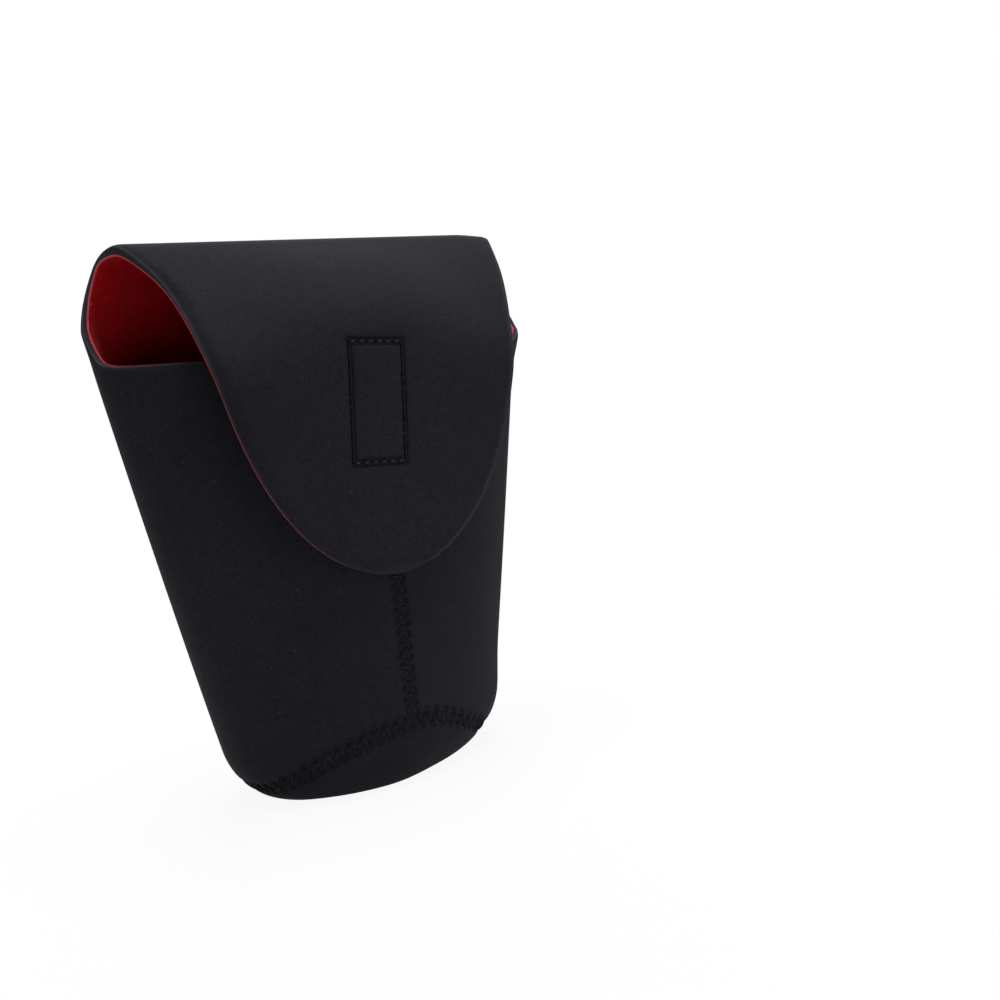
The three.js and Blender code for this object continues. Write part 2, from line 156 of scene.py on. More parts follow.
# Where the cloth is cut into pieces of the scene: the back panel above this height and the roof's first
# part are one strip over the fold, the rest of the flap is the next piece
STRIP_FROM = 160.0
STRIP_TO = 12.0

# How the soft pouch settled when it was closed: the flap lies a little to the left, its right end higher
FLAP_SHIFT = -0.8
FOLD_RISE = 0.034  # height gained for each millimetre to the right, along the fold
RISE_FROM = 140.0  # both fade out down to this height on the pouch
RISE_FADE = 115.0  # and the rise over this length along the flap
FOLD_SHIFT = -0.5  # the fold lies further to the left by this
FOLD_DROOP = 1.1  # its right end hangs down by this
FLAP_SWAY = 3.0  # the roof's right edge bulges by this just past the fold
CORNER_BULGE = 2.0  # the right corner of the mouth stands out by this
CORNER_LIFT = 3.8  # and its cut edge is higher by this
SOFT_BEND = 18.0  # the bend over the front rim is spread over this length
BEND_LEAD = 7.0  # and in the middle it lies this much nearer the fold, above the stiff tape
RIM_GIVE = 0.9  # and presses the rim's middle in by this
SEAM_DIP = 4.3  # the base seam runs lower by this round the right end
HEEL_TUCK = 0.085  # share by which the foot's front is drawn in there
HEEL_BULGE = 1.2  # and how far the heel bulges above it
HEEL_AT = 16.0  # height of that bulge
HEEL_SPREAD = 11.0
GIVE_HALF = 62.0  # half width of the rim that is pressed in
# Where these grow or fade: start and length of a rise, and for a band start and length of its fall as well
CORNER_BAND = 126, 16, 144, 12  # heights
GIVE_RISE = 108, 28
TUCK_FADE = 0, 12
TUCK_RISE = -8, 24  # places across
DROOP_RISE = 52, 16
SWAY_RISE = 0, 40
LEAD_FADE = 9, 40
SWAY_BAND = 0, 23, 23, 26  # lengths along the flap
EASE_BAND = 0, 12, 30, 15  # what the roof's slope loses to the soft bend
SPREAD_RISE = 8, 22
LEAD_RISE = 10, 25
DROOP_FADE = 0, 30
SHIFT_FADE = 0, 26
PRESS_RISE = 4, 26
NIP_FADE = -12, 14
FUZZ_HIGHLIGHT_FADE = 35, 25
DIP_BAND = 0, 0.13, 0.25, 0.2  # shares of the way round from the front middle


def lerp(a, b, k):
    return a + (b - a) * k


def spaced(start, stop, step):
    """Evenly spaced numbers from start to stop, about one step apart."""
    count = max(1, int(round(abs(stop - start) / step)))
    return np.linspace(start, stop, count + 1)


def joined(*runs):
    """Runs of numbers one after another, each starting where the last one ended."""
    return np.concatenate([runs[0]] + [run[1:] for run in runs[1:]])


def lengths(v):
    return np.linalg.norm(v, axis=-1)


def unit(v):
    return v / np.maximum(lengths(v)[..., None], 1e-12)


def running(steps):
    """Running sums down the rows, from 0 on."""
    return np.concatenate([0 * steps[:1], np.cumsum(steps, 0)])


def smooth(k):
    """The smooth step from 0 to 1."""
    k = np.clip(k, 0, 1)
    return k * k * (3 - 2 * k)


def grown(k, start, run):
    """A smooth step from 0 to 1 over a run from start on."""
    return smooth((k - start) / run)


def hump(k, start, rise, stop, fall):
    """A smooth step up from start on and another one down from stop on."""
    return grown(k, start, rise) - grown(k, stop, fall)


def bell(k, width):
    """A bell curve that is 1 at 0."""
    return np.exp(-((k / width) ** 2))


def wrap(k):
    """Signed distance of k to the nearest whole number."""
    return (k + 0.5) % 1 - 0.5


# Surface of the pouch
def sizes_at(z):
    """Half width, front depth, back depth and end radius of the oval section at height z. The width
    grows by a power of the height, the depths fall by another, and the heel is a quarter ellipse."""
    k = np.clip(z / MOUTH_HEIGHT, 0, 1)
    deep = (1 - k) ** DEPTH_POWER
    m = np.clip(1 - z / HEEL_HEIGHT, 0, 1)
    r = FOOT_SHARE + (1 - FOOT_SHARE) * np.sqrt(1 - m * m)
    half = r * lerp(BASE_HALF_WIDTH, MOUTH_HALF_WIDTH, k**WIDTH_POWER)
    front = r * lerp(MOUTH_FRONT_DEPTH, BASE_HALF_DEPTH, deep)
    back = r * (lerp(MOUTH_BACK_DEPTH, BASE_HALF_DEPTH, deep) + 1e-4)
    return half, front, back, r * lerp(BASE_CORNER, MOUTH_BACK_DEPTH, k)


def quarter_oval(f, a, depth, corner):
    """A quarter of an oval: a large arc from the middle of its long side, which runs into a small arc
    round its end. f is the share of the quarter's length."""
    c = np.minimum(np.minimum(corner, depth * (1 - 1e-5)), 0.9 * a)
    big = ((a - c) ** 2 + depth**2 - c**2) / (2 * (depth - c))
    turn = np.arctan2(a - c, big - depth)
    s = f * (big * turn + c * (math.pi / 2 - turn))
    g = turn + (s - big * turn) / c
    on_big = s < big * turn
    x = np.where(on_big, big * np.sin(s / big), a - c + c * np.sin(g))
    y = np.where(on_big, big - depth - big * np.cos(s / big), -c * np.cos(g))
    return x, y


def lean_at(z):
    """The back panel leans forward by the square of the height above where the lean starts."""
    return LEAN * np.maximum(0, (z - LEAN_START) / LEAN_RUN) ** 2


def fold_arc():
    """Height and tilt at which the leaning back panel runs into the fold's arc, and the arc's centre."""
    top, tilt = FOLD_HEIGHT - FOLD_RADIUS, 0.0
    for _ in range(20):
        tilt = math.atan(2 * LEAN * max(0, top - LEAN_START) / LEAN_RUN**2)
        top = FOLD_HEIGHT - FOLD_RADIUS + FOLD_RADIUS * math.sin(tilt)
    y = float(sizes_at(top)[2] - lean_at(top)) - FOLD_RADIUS * math.cos(tilt)
    return top, tilt, y, FOLD_HEIGHT - FOLD_RADIUS


FOLD_TOP, FOLD_TILT, FOLD_Y, FOLD_Z = fold_arc()
HINGE_LENGTH = FOLD_TOP + FOLD_RADIUS * (HINGE - FOLD_TILT)
QUARTER = MOUTH_HALF_WIDTH - MOUTH_BACK_DEPTH + MOUTH_BACK_DEPTH * math.pi / 2
ROOT = 0.5 - 0.25 * FOLD_HALF_WIDTH / QUARTER


def settling(x, z, ahead):
    """How the pouch settled: lengths by which its right side and its front rim moved to the right and
    back, and the scale of the front's depth at the foot. The right side bulges at the heel and at the
    corner of the mouth."""
    side = np.clip(x / MOUTH_HALF_WIDTH, 0, 1)
    corner = CORNER_BULGE * side**3 * hump(z, *CORNER_BAND)
    heel = HEEL_BULGE * np.clip(x / BASE_HALF_WIDTH, 0, 1) ** 2 * bell(z - HEEL_AT, HEEL_SPREAD)
    give = RIM_GIVE * grown(z, *GIVE_RISE) * (1 - np.clip(np.abs(x) / GIVE_HALF, 0, 1) ** 2) ** 2
    tuck = HEEL_TUCK * grown(x, *TUCK_RISE) * (1 - grown(z, *TUCK_FADE))
    return corner + heel, np.where(ahead, give, 0), 1 - np.where(ahead, tuck, 0)


def droop_at(x):
    """How far the fold hangs down, at its right end only."""
    return FOLD_DROOP * grown(x, *DROOP_RISE)


def bag(u, e):
    """Outside of the pouch. u goes once round from the front middle by way of +X, e is the height and
    runs on along the fold's arc past the top of the back panel."""
    u, e = np.broadcast_arrays(u, e)
    w = u % 1
    near = np.minimum(w, 1 - w)
    z = np.minimum(e, FOLD_TOP)
    a, front, back, corner = sizes_at(z)
    ahead = near <= 0.25
    f = np.where(ahead, near, 0.5 - near) / 0.25
    x, y = quarter_oval(f, a, np.where(ahead, front, back), corner)
    g = FOLD_TILT + (e - z) / FOLD_RADIUS
    over = e > FOLD_TOP
    past = np.where(over, FOLD_RADIUS * (np.cos(g) - math.cos(FOLD_TILT)), 0)
    x = np.where(w <= 0.5, x, -x)
    y = np.where(ahead, y, -y) - lean_at(z) + past
    right, give, tuck = settling(x, z, ahead)
    settled = grown(z, RISE_FROM, FOLD_TOP - RISE_FROM)
    z = np.where(over, FOLD_Z + FOLD_RADIUS * np.sin(g), z)
    z = z + (FOLD_RISE * x - droop_at(x)) * settled
    x = x + right + (FLAP_SHIFT + FOLD_SHIFT) * settled
    return np.stack([x, y * tuck + give, z], -1)


def bag_normal(u, e):
    """Outward normal: the cross product of the slopes round the pouch and up it."""
    round_it = bag(u + 2e-4, e) - bag(u - 2e-4, e)
    up_it = bag(u, e + 0.02) - bag(u, np.maximum(e - 0.02, 0))
    return unit(np.cross(round_it, up_it))


def rim_at(u):
    """Height of the cut edge: level at the front, then a straight climb to the flap's root, with a round
    corner between them: half the sum of both lines and of the hyperbola that joins them."""
    w = u % 1
    near = np.minimum(w, 1 - w)
    t = np.minimum((near - 0.25) / (ROOT - 0.25), 1)
    climbs = lerp(RIM_SIDE, HINGE_LENGTH, t)
    corner = np.sqrt((climbs - RIM_FRONT) ** 2 + RIM_ROUND**2) - (climbs - RIM_FRONT)
    lift = CORNER_LIFT * smooth(1 - np.abs(w - 0.238) / 0.03)
    return climbs + corner / 2 * (1 - smooth(t)) + lift


def top_at(u):
    """Top of the wall piece: the cut edge, or the height at which the strip over the fold begins."""
    return np.minimum(rim_at(u), STRIP_FROM)


def climb(u, m=None):
    """Height at the length m along the cloth from the bottom middle, for a list of lines u and a table
    of lengths m with one row for each line, read off a table of points up each line. Without m, the
    whole length of each line."""
    u = np.asarray(u, float)[:, None]
    heel = HEEL_HEIGHT * (1 - np.cos(np.linspace(0, math.pi / 2, 33)))
    wall = lerp(HEEL_HEIGHT, top_at(u), np.linspace(0, 1, 49)[1:])
    heights = np.concatenate([np.repeat(heel[None], len(u), 0), wall], 1)
    points = bag(u, heights)
    foot = lengths(points[:, :1])
    far = np.concatenate([foot, foot + np.cumsum(lengths(np.diff(points, axis=1)), 1)], 1)
    if m is None:
        return far[:, -1]
    i = np.clip((far[:, None, :] < m[..., None]).sum(-1), 1, far.shape[1] - 1)
    low, high = (np.take_along_axis(far, k, 1) for k in (i - 1, i))
    under, over = (np.take_along_axis(heights, k, 1) for k in (i - 1, i))
    return lerp(under, over, np.clip((m - low) / (high - low), 0, 1.5))


def on_skin(u, m):
    """Points and normals of the pouch's outside by line and length; the flat foot is a scaled outline."""
    foot = bag(u, 0.0)[:, None]
    flat = lengths(foot)
    line = np.asarray(u, float)[:, None]
    m = m - SEAM_DIP * hump(line, *DIP_BAND) * bell(m - BASE_RADIUS, 10)
    e = climb(u, m)
    on_foot = (m <= flat)[..., None]
    p = np.where(on_foot, foot * (m / flat)[..., None], bag(line, e))
    n = np.where(on_foot, np.array([0, 0, -1.0]), bag_normal(line, np.maximum(e, 1e-3)))
    return p, n, e


# Surface of the flap
def flap_arcs():
    """Centre of the bend's arc and the slopes at the roof's two ends: the face hangs clear of the wall and
    the closed tapes, the bend clears the front rim, and the roof's arc touches fold and bend."""
    standoff = THREAD_LIFT + 2 * THREAD_RADIUS + BOND + LOOP_TAPE + TAPE_GAP + HOOK_TAPE + BOND
    hangs = FLAP_LENGTH - ROOF_LENGTH
    z = np.maximum(HEEL_HEIGHT, RIM_FRONT - np.linspace(0, 1, 21) * hangs)
    face = -(float((sizes_at(z)[1] + lean_at(z)).max()) + standoff + CLOTH)
    inner = BEND_RADIUS - CLOTH - HOOK_TAPE - BOND - RIM_CLEARANCE
    reach = BEND_RADIUS - standoff - CLOTH
    bend = np.array([face + BEND_RADIUS, RIM_FRONT - math.sqrt(max(0, inner**2 - reach**2))])
    fold = np.array([FOLD_Y, FOLD_Z])
    span = np.linalg.norm(bend - fold)
    e = (bend - fold) / span
    r1, r2 = ROOF_RADIUS - FOLD_RADIUS, ROOF_RADIUS - BEND_RADIUS
    k = (r1**2 - r2**2 + span**2) / (2 * span)
    roof = fold + e * k + np.array([-e[1], e[0]]) * math.sqrt(r1**2 - k**2)
    s0, s1 = (math.atan2(roof[0] - c[0], c[1] - roof[1]) for c in (fold, bend))
    return bend, s0, s1


BEND_AT, SLOPE_0, SLOPE_1 = flap_arcs()
FOLD_RUN = FOLD_RADIUS * (math.pi / 2 + SLOPE_0 - HINGE)
BEND_FROM = FOLD_RUN + ROOF_RADIUS * (SLOPE_1 - SLOPE_0)
BEND_TO = BEND_FROM + BEND_RADIUS * (math.pi / 2 - SLOPE_1)


def flap_slope(s):
    """Slope of the flap's arcs at the length s: the fold, from a little before the hinge, the roof, the
    bend and the straight end."""
    before = -10.0
    start = HINGE - math.pi / 2 + before / FOLD_RADIUS
    return np.interp(s, [before, FOLD_RUN, BEND_FROM, BEND_TO], [start, SLOPE_0, SLOPE_1, math.pi / 2])


def flap_profile(lead, ease):
    """The flap's line as a table of length, slope, y and z. Soft cloth spreads a bend, so each slope is
    the mean of the arcs' slopes about it, less the ease over the roof, and the place is the running sum
    of the slopes."""
    s = np.linspace(0, FLAP_LENGTH, 1191)
    window = lerp(3.0, SOFT_BEND, grown(s, *SPREAD_RISE))[:, None] * np.linspace(-0.5, 0.5, 41)
    g = flap_slope((s + lead * grown(s, *LEAD_RISE))[:, None] + window).mean(1)
    g = g - ease * hump(s, *EASE_BAND)
    middle = (g[1:] + g[:-1]) / 2
    y = FOLD_Y + FOLD_RADIUS * math.cos(HINGE) - running(np.cos(middle)) * s[1]
    z = FOLD_Z + FOLD_RADIUS * math.sin(HINGE) - running(np.sin(middle)) * s[1]
    return s, g, y, z


def eased_profile(lead):
    """The profile whose straight end hangs where the arcs' does, by one step of linear interpolation."""
    face = BEND_AT[0] - BEND_RADIUS
    plain, more = flap_profile(lead, 0.0)[2][-1], flap_profile(lead, 0.02)[2][-1]
    return flap_profile(lead, 0.02 * (face - plain) / (more - plain))


SIDE_PROFILE = eased_profile(0.0)
MIDDLE_PROFILE = eased_profile(BEND_LEAD)


def on_flap(x, s):
    """Points and normals of the flap's outside at x and the length s from the hinge, by the soft line of
    its sides, which runs into that of its middle."""
    x, s = np.broadcast_arrays(x, s)
    outward = grown(np.abs(x), *LEAD_FADE)
    lines = (MIDDLE_PROFILE, SIDE_PROFILE)
    middle, side = ([np.interp(s, line[0], column) for column in line[1:]] for line in lines)
    g, y, z = (lerp(a, b, outward) for a, b in zip(middle, side))
    rise = FOLD_RISE * x * (1 - smooth(s / RISE_FADE))
    droop = droop_at(x) * (1 - grown(s, *DROOP_FADE))
    sway = FLAP_SWAY * grown(x, *SWAY_RISE) * hump(s, *SWAY_BAND)
    shift = FLAP_SHIFT + FOLD_SHIFT * (1 - grown(s, *SHIFT_FADE))
    p = np.stack([x + shift + sway, y, z + rise - droop], -1)
    return p, np.stack([np.zeros_like(g), -np.sin(g), np.cos(g)], -1)


def flap_half_width(s):
    """Half width of the flap: a blunt half ellipse to the tip, and a flare that dies out from the root."""
    blunt = np.sqrt(1 - np.clip(s / FLAP_LENGTH, 0, 1) ** TIP_POWER)
    flare = np.exp(-((np.maximum(s, 0) / FLARE_RUN) ** FLARE_POWER))
    return FLAP_HALF_WIDTH * blunt + ROOT_FLARE * flare


def on_strip(g, length):
    """Points and normals of the strip over the fold: g is the length across from the back middle, and
    the length along runs up the back panel and past the hinge along the flap."""
    u = 0.5 + 0.25 * g / QUARTER
    e = np.minimum(length, HINGE_LENGTH)
    p, n = on_flap(-g, np.maximum(length - HINGE_LENGTH, 0))
    past = (length > HINGE_LENGTH)[..., None] & np.ones(g.shape, bool)[..., None]
    return np.where(past, p, bag(u, e)), np.where(past, n, bag_normal(u, e))


def strip_half_width(length):
    """Half width of the strip, from the cut edge of the wall and then of the flap."""
    line = np.linspace(0.26, ROOT, 200)
    on_wall = (0.5 - np.interp(length, rim_at(1 - line), line)) * 4 * QUARTER
    return np.where(length < HINGE_LENGTH, on_wall, flap_half_width(length - HINGE_LENGTH))


# How stitching and cut edges shape the cloth
def round_off(inside, radius):
    """How far a face drops towards its cut edge: a quarter circle over the last radius of cloth."""
    radius = max(radius, 1e-6)
    k = np.clip(inside, 0, radius)
    return radius - np.sqrt(np.maximum(radius**2 - (radius - k) ** 2, 0))


def pressed(inside, s=-1.0):
    """How far the outer layers sink towards a cut edge: a half bell, which grows along the flap with the
    length s from the hinge."""
    k = grown(s, *PRESS_RISE)
    return lerp(EDGE_PRESS, FLAP_PRESS, k) * bell(np.maximum(inside, 0), lerp(1.1, 1.9, k))


def nipped(inside, s=-FAR):
    """How far the lining comes out towards the mouth's cut edge, which fades below the fold."""
    return RIM_NIP * bell(np.maximum(inside, 0), 1.8) * (1 - grown(s, *NIP_FADE))


def zigzag_dents(across, turns, pitch, width):
    """Depth of a zigzag seam, a shallow valley with a hole under each point of the zigzag, and the painted
    shade that darkens its holes and, a little, its valley. turns counts whole zigzags along the seam; left
    points are at whole turns and right ones halfway."""
    valley = bell(across, 0.62 * width)
    left = bell(np.hypot(across + width / 2, wrap(turns) * pitch), HOLE_RADIUS)
    right = bell(np.hypot(across - width / 2, wrap(turns - 0.5) * pitch), HOLE_RADIUS)
    tuck = 0.22 * bell(across, 0.5 * width) * np.cos(4 * math.pi * turns) ** 2
    # painted shade: dark in each needle hole, a little darker along the valley
    dark = np.minimum(1.6 * np.maximum(left, right) ** 0.8, 1) + 0.12 * valley**2
    return SEAM_VALLEY * valley + HOLE_DEPTH * (left + right) + tuck, dark


FRONT_TOTAL = float(climb([0.0])[0])
FRONT_FROM = BASE_RADIUS + SEAM_END
FRONT_TO = FRONT_TOTAL - SEAM_END
FRONT_TURNS = round((FRONT_TO - FRONT_FROM) / STITCH_PITCH)
ROUND_U = np.linspace(0, 1, 241)
SEAM_LINE = on_skin(ROUND_U, np.full((241, 1), BASE_RADIUS))[0][:, 0]
SEAM_LENGTH = lengths(np.diff(SEAM_LINE, axis=0)).sum()
BASE_TURNS = round(SEAM_LENGTH / STITCH_PITCH)


def seam_dents(u, x, m):
    """Depth that the front seam and the base seam press into the outside of the wall and the base, and the
    painted shade of each place, which is darkest in a needle hole."""
    turns = (m - FRONT_FROM) / (FRONT_TO - FRONT_FROM) * FRONT_TURNS
    sewn = np.clip((m - FRONT_FROM) / 2 + 1, 0, 1) * np.clip((FRONT_TO - m) / 2 + 1, 0, 1)
    sewn = np.where(np.abs(wrap(u)) < 0.2, sewn, 0)
    front = zigzag_dents(x, turns, STITCH_PITCH, FRONT_SEAM_WIDTH)
    base = zigzag_dents(m - BASE_RADIUS, u * BASE_TURNS, SEAM_LENGTH / BASE_TURNS, BASE_SEAM_WIDTH)
    return (np.maximum(a * sewn, b) for a, b in zip(front, base))


HOOK_TOP = ROOF_LENGTH + HOOK_DROP
HOOK_END = HOOK_TOP + TAPE_LENGTH
BOX_HALF = TAPE_WIDTH / 2 - SIDE_INSET
BOX_TOP = HOOK_TOP + STITCH_INSET
BOX_END = HOOK_END - STITCH_INSET
BOX_ACROSS = round(2 * BOX_HALF / BOX_STITCH)
BOX_ALONG = round((BOX_END - BOX_TOP) / BOX_STITCH)


def turned(x, s, angle):
    """Places turned by an angle about the middle of the stitched rectangle."""
    middle = (BOX_TOP + BOX_END) / 2
    cos, sin = math.cos(angle), math.sin(angle)
    return x * cos - (s - middle) * sin, middle + (s - middle) * cos + x * sin


def box_dents(x, s):
    """Depth that the tape's stitched rectangle presses into the flap, a groove along its four sides that is
    deeper at each needle hole, and the painted shade of each place in and near that groove."""
    x, s = turned(x - BOX_SHIFT, s, -BOX_TURN)
    along = (s - BOX_TOP) / (BOX_END - BOX_TOP)
    over = np.maximum(np.maximum(BOX_TOP - s, s - BOX_END), 0)
    beside = np.maximum(np.abs(x) - BOX_HALF, 0)
    side = np.hypot(np.abs(x) - BOX_HALF, over)
    end = np.hypot(np.minimum(np.abs(s - BOX_TOP), np.abs(s - BOX_END)), beside)
    holes_side = np.cos(math.pi * wrap(along * BOX_ALONG)) ** 6
    holes_end = np.cos(math.pi * wrap((x / BOX_HALF + 1) / 2 * BOX_ACROSS)) ** 6
    groove_side = bell(side, 0.75) * (0.95 + 0.2 * holes_side)
    groove_end = bell(end, 0.9) * (0.8 + 0.4 * holes_end)
    # painted shade in the groove round the rectangle
    dark = np.maximum(bell((side / 1.2) ** 2, 1), bell((end / 1.3) ** 2, 1))
    return np.maximum(groove_side, groove_end) + 0.25 * bell(np.minimum(side, end), 2.6), dark


# Meshes
def make(name, node, finish, points, faces, uv, painted_shade_and_fray=0.0):
    """A mesh object in place of a node, from points in millimetres, faces and for each point a pattern
    coordinate and its painted shade, from 0 to 1, which is darkest deep in a needle hole or a groove; below
    0 it is the paler frayed cut edge with its painted highlight."""
    mesh = bpy.data.meshes.new(name)
    mesh.from_pydata(np.asarray(points, float) * MM, [], faces)
    corner = np.empty(len(mesh.loops), np.int32)
    mesh.loops.foreach_get("vertex_index", corner)
    cloth = mesh.uv_layers.new(name="cloth")
    cloth.data.foreach_set("uv", np.asarray(uv, np.float32)[corner].ravel())
    depth = mesh.attributes.new("painted_shade_and_fray", "FLOAT", "POINT")
    depth.data.foreach_set("value", np.zeros(len(points), np.float32) + np.asarray(painted_shade_and_fray, np.float32))
    mesh.polygons.foreach_set("use_smooth", np.ones(len(mesh.polygons), bool))
    mesh.set_sharp_from_angle(angle=math.radians(50))
    mesh.materials.append(finish)
    mesh.update()
    obj = bpy.data.objects.new(name, mesh)
    bpy.context.scene.collection.objects.link(obj)
    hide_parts(node)
    return obj


def listed(*corners):
    """Faces from one array of point numbers for each corner."""
    return np.stack(corners, -1).reshape(-1, len(corners)).tolist()


def quads(rows, cols, first, ring=False, flip=False):
    """Faces of a grid whose points are numbered row by row from first."""
    j, i = np.meshgrid(np.arange(rows - 1), np.arange(cols if ring else cols - 1), indexing="ij")
    low, high, k = first + j * cols, first + (j + 1) * cols, (i + 1) % cols
    corners = low + i, low + k, high + k, high + i
    return listed(*(corners[::-1] if flip else corners))


def shell(a, b, cols, ring=False):
    """Faces of a closed body between an outer grid of a rows and an inner one of b rows: both grids, a
    strip along the first and the last row, and at each side a strip or, where the rows differ, one
    many-sided face. On a ring, poles close the first rows."""
    second = a * cols
    faces = quads(a, cols, 0, ring) + quads(b, cols, second, ring, True)
    i = np.arange(cols if ring else cols - 1)
    k = (i + 1) % cols
    o, n = (a - 1) * cols, second + (b - 1) * cols
    faces += listed(o + i, o + k, n + k, n + i)
    if ring:
        centre = 0 * i + second + b * cols
        return faces + listed(centre, k, i) + listed(centre + 1, second + i, second + k)
    faces += listed(k, i, second + i, second + k)
    if a == b:
        j = np.arange(a - 1) * cols
        faces += listed(j, j + cols, second + j + cols, second + j)
        j = j + cols - 1
        return faces + listed(j + cols, j, second + j, second + j + cols)
    near, far = np.arange(a) * cols, second + np.arange(b) * cols
    left = np.concatenate([near, far[::-1]])
    right = np.concatenate([far, near[::-1]]) + cols - 1
    return faces + [left.tolist(), right.tolist()]


def flattened(outer, inner, ring=False):
    """Values of two grids in one list, and on a ring the means of their first rows, for its poles."""
    rows = [outer.reshape(-1, outer.shape[-1]), inner.reshape(-1, inner.shape[-1])]
    if ring:
        rows += [outer[0].mean(0)[None], inner[0].mean(0)[None]]
    return np.concatenate(rows)


def at_depth(p, n, depth):
    return p - n * np.asarray(depth)[..., None]


def layer(name, node, finish, grid, top, bottom, painted_shade_and_fray=0.0, under=0.0, few=slice(None), ring=False):
    """A closed layer of cloth between two depths below a grid of points, normals and pattern coordinates.
    Its outer face gets the first painted shade given, which below 0 is the paler frayed edge with its
    painted highlight, and its inner face, which keeps only a few rows, gets under."""
    p, n, uv = grid
    outer, inner = at_depth(p, n, top), at_depth(p, n, bottom)[few]
    painted_shade_and_fray, under = (np.broadcast_to(h, p.shape[:2])[..., None] for h in (painted_shade_and_fray, under))
    faces = shell(len(outer), len(inner), outer.shape[1], ring)
    pairs = (outer, inner), (uv, uv[few]), (painted_shade_and_fray, under[few])
    points, uv, painted_shade_and_fray = (flattened(*pair, ring) for pair in pairs)
    return make(name, node, finish, points, faces, uv, painted_shade_and_fray.ravel())


def tube(name, node, path, normal, radius, closed, painted_shade_and_fray, sides=6):
    """A thread: a round section carried along a path that knows the cloth's normal."""
    step = np.roll(path, -1, 0) - np.roll(path, 1, 0)
    if not closed:
        step[0], step[-1] = path[1] - path[0], path[-1] - path[-2]
    along = unit(step)
    side = unit(np.cross(along, normal))
    up = np.cross(side, along)
    g = np.linspace(0, 2 * math.pi, sides, endpoint=False)
    ring = side[:, None] * np.cos(g)[:, None] + up[:, None] * np.sin(g)[:, None]
    points = (path[:, None] + radius * ring).reshape(-1, 3)
    count = len(path)
    j, i = np.meshgrid(np.arange(count if closed else count - 1), np.arange(sides), indexing="ij")
    k, n = (i + 1) % sides, (j + 1) % count
    faces = listed(j * sides + i, n * sides + i, n * sides + k, j * sides + k)
    if not closed:
        faces += [list(range(sides)), list(range((count - 1) * sides, count * sides))[::-1]]
    length = running(lengths(np.diff(path, axis=0)))
    uv = np.stack(np.broadcast_arrays(g[None] / (2 * math.pi), length[:, None]), -1).reshape(-1, 2)
    return make(name, node, THREAD, points, faces, uv, np.repeat(painted_shade_and_fray, sides))


# Materials
class Value:
    """One output socket of a node tree. Arithmetic on it adds Math nodes."""

    def __init__(self, tree, socket):
        self.tree, self.socket = tree, socket

    def math(self, operation, *inputs):
        return self.tree.node("ShaderNodeMath", {"operation": operation}, dict(enumerate(inputs)))

    def __add__(self, other):
        return self.math("ADD", self, other)

    def __sub__(self, other):
        return self.math("SUBTRACT", self, other)

    def __rsub__(self, other):
        return self.math("SUBTRACT", other, self)

    def __mul__(self, other):
        return self.math("MULTIPLY", self, other)

    def __truediv__(self, other):
        return self.math("DIVIDE", self, other)

    def __abs__(self):
        return self.math("ABSOLUTE", self)

    __radd__, __rmul__ = __add__, __mul__

    def most(self, other):
        return self.math("MAXIMUM", self, other)

    def fract(self):
        return self.math("FRACT", self)

    def sine(self):
        return self.math("SINE", self)

    def between(self, low, high):
        """0 below low, 1 above high and a smooth step between them."""
        settings = {"interpolation_type": "SMOOTHSTEP"}
        return self.tree.node("ShaderNodeMapRange", settings, {0: self, 1: low, 2: high})


class Tree:
    """The nodes of a material or a world."""

    def __init__(self, owner):
        owner.use_nodes = True
        self.nodes, self.links = owner.node_tree.nodes, owner.node_tree.links

    def node(self, kind, settings, inputs, output=0):
        """Any node: its settings first, then the values or links of its sockets."""
        made = self.nodes.new(kind)
        for key, value in settings.items():
            setattr(made, key, value)
        self.feed(made, inputs)
        return Value(self, made.outputs[output])

    def feed(self, made, inputs):
        for key, value in inputs.items():
            if isinstance(value, Value):
                self.links.new(value.socket, made.inputs[key])
            else:
                made.inputs[key].default_value = value

    def seen(self):
        """1 for what the camera sees, straight, mirrored or through glass, and 0 for other light."""
        kinds = ("Is Camera Ray", "Is Glossy Ray", "Is Transmission Ray")
        straight, mirrored, through = (self.node("ShaderNodeLightPath", {}, {}, kind) for kind in kinds)
        return straight.most(mirrored.most(through))


class Finish(Tree):
    """A material with one Principled shader, and the nodes that feed it."""

    def __init__(self, name, **constants):
        self.material = bpy.data.materials.new(name)
        super().__init__(self.material)
        self.shader = self.nodes["Principled BSDF"]
        self.surface(**constants)

    def surface(self, **inputs):
        self.feed(self.shader, {key.replace("_", " "): value for key, value in inputs.items()})
        return self.material

    def place(self):
        """Where a point is on the object, in metres."""
        return self.node("ShaderNodeTexCoord", {}, {}, "Object")

    def pattern(self):
        """The two pattern coordinates of the cloth, in millimetres."""
        flat = self.node("ShaderNodeUVMap", {"uv_map": "cloth"}, {})
        return (self.node("ShaderNodeSeparateXYZ", {}, {0: flat}, axis) for axis in (0, 1))

    def painted_shade_and_fray(self):
        """Painted shade of a place: darkest deep in a needle hole or groove, and below 0 the paler frayed
        edge with its painted highlight.
        """
        return self.node("ShaderNodeAttribute", {"attribute_name": "painted_shade_and_fray"}, {}, "Fac")

    def noise(self, scale, detail=2.0, rough=0.5):
        inputs = {"Vector": self.place(), "Scale": scale, "Detail": detail, "Roughness": rough}
        return self.node("ShaderNodeTexNoise", {}, inputs)

    def mix(self, factor, a, b):
        return self.node("ShaderNodeMix", {"data_type": "RGBA"}, {0: factor, 6: a, 7: b}, 2)

    def bump(self, height, strength, distance):
        inputs = {"Strength": strength, "Distance": distance, "Height": height}
        return self.node("ShaderNodeBump", {}, inputs)


def linear(red, green, blue):
    """A colour given as it shows on a screen, from 0 to 255, as Blender's linear colour."""
    c = np.array([red, green, blue]) / 255
    c = np.where(c <= 0.04045, c / 12.92, ((c + 0.055) / 1.055) ** 2.4)
    return (*map(float, c), 1.0)


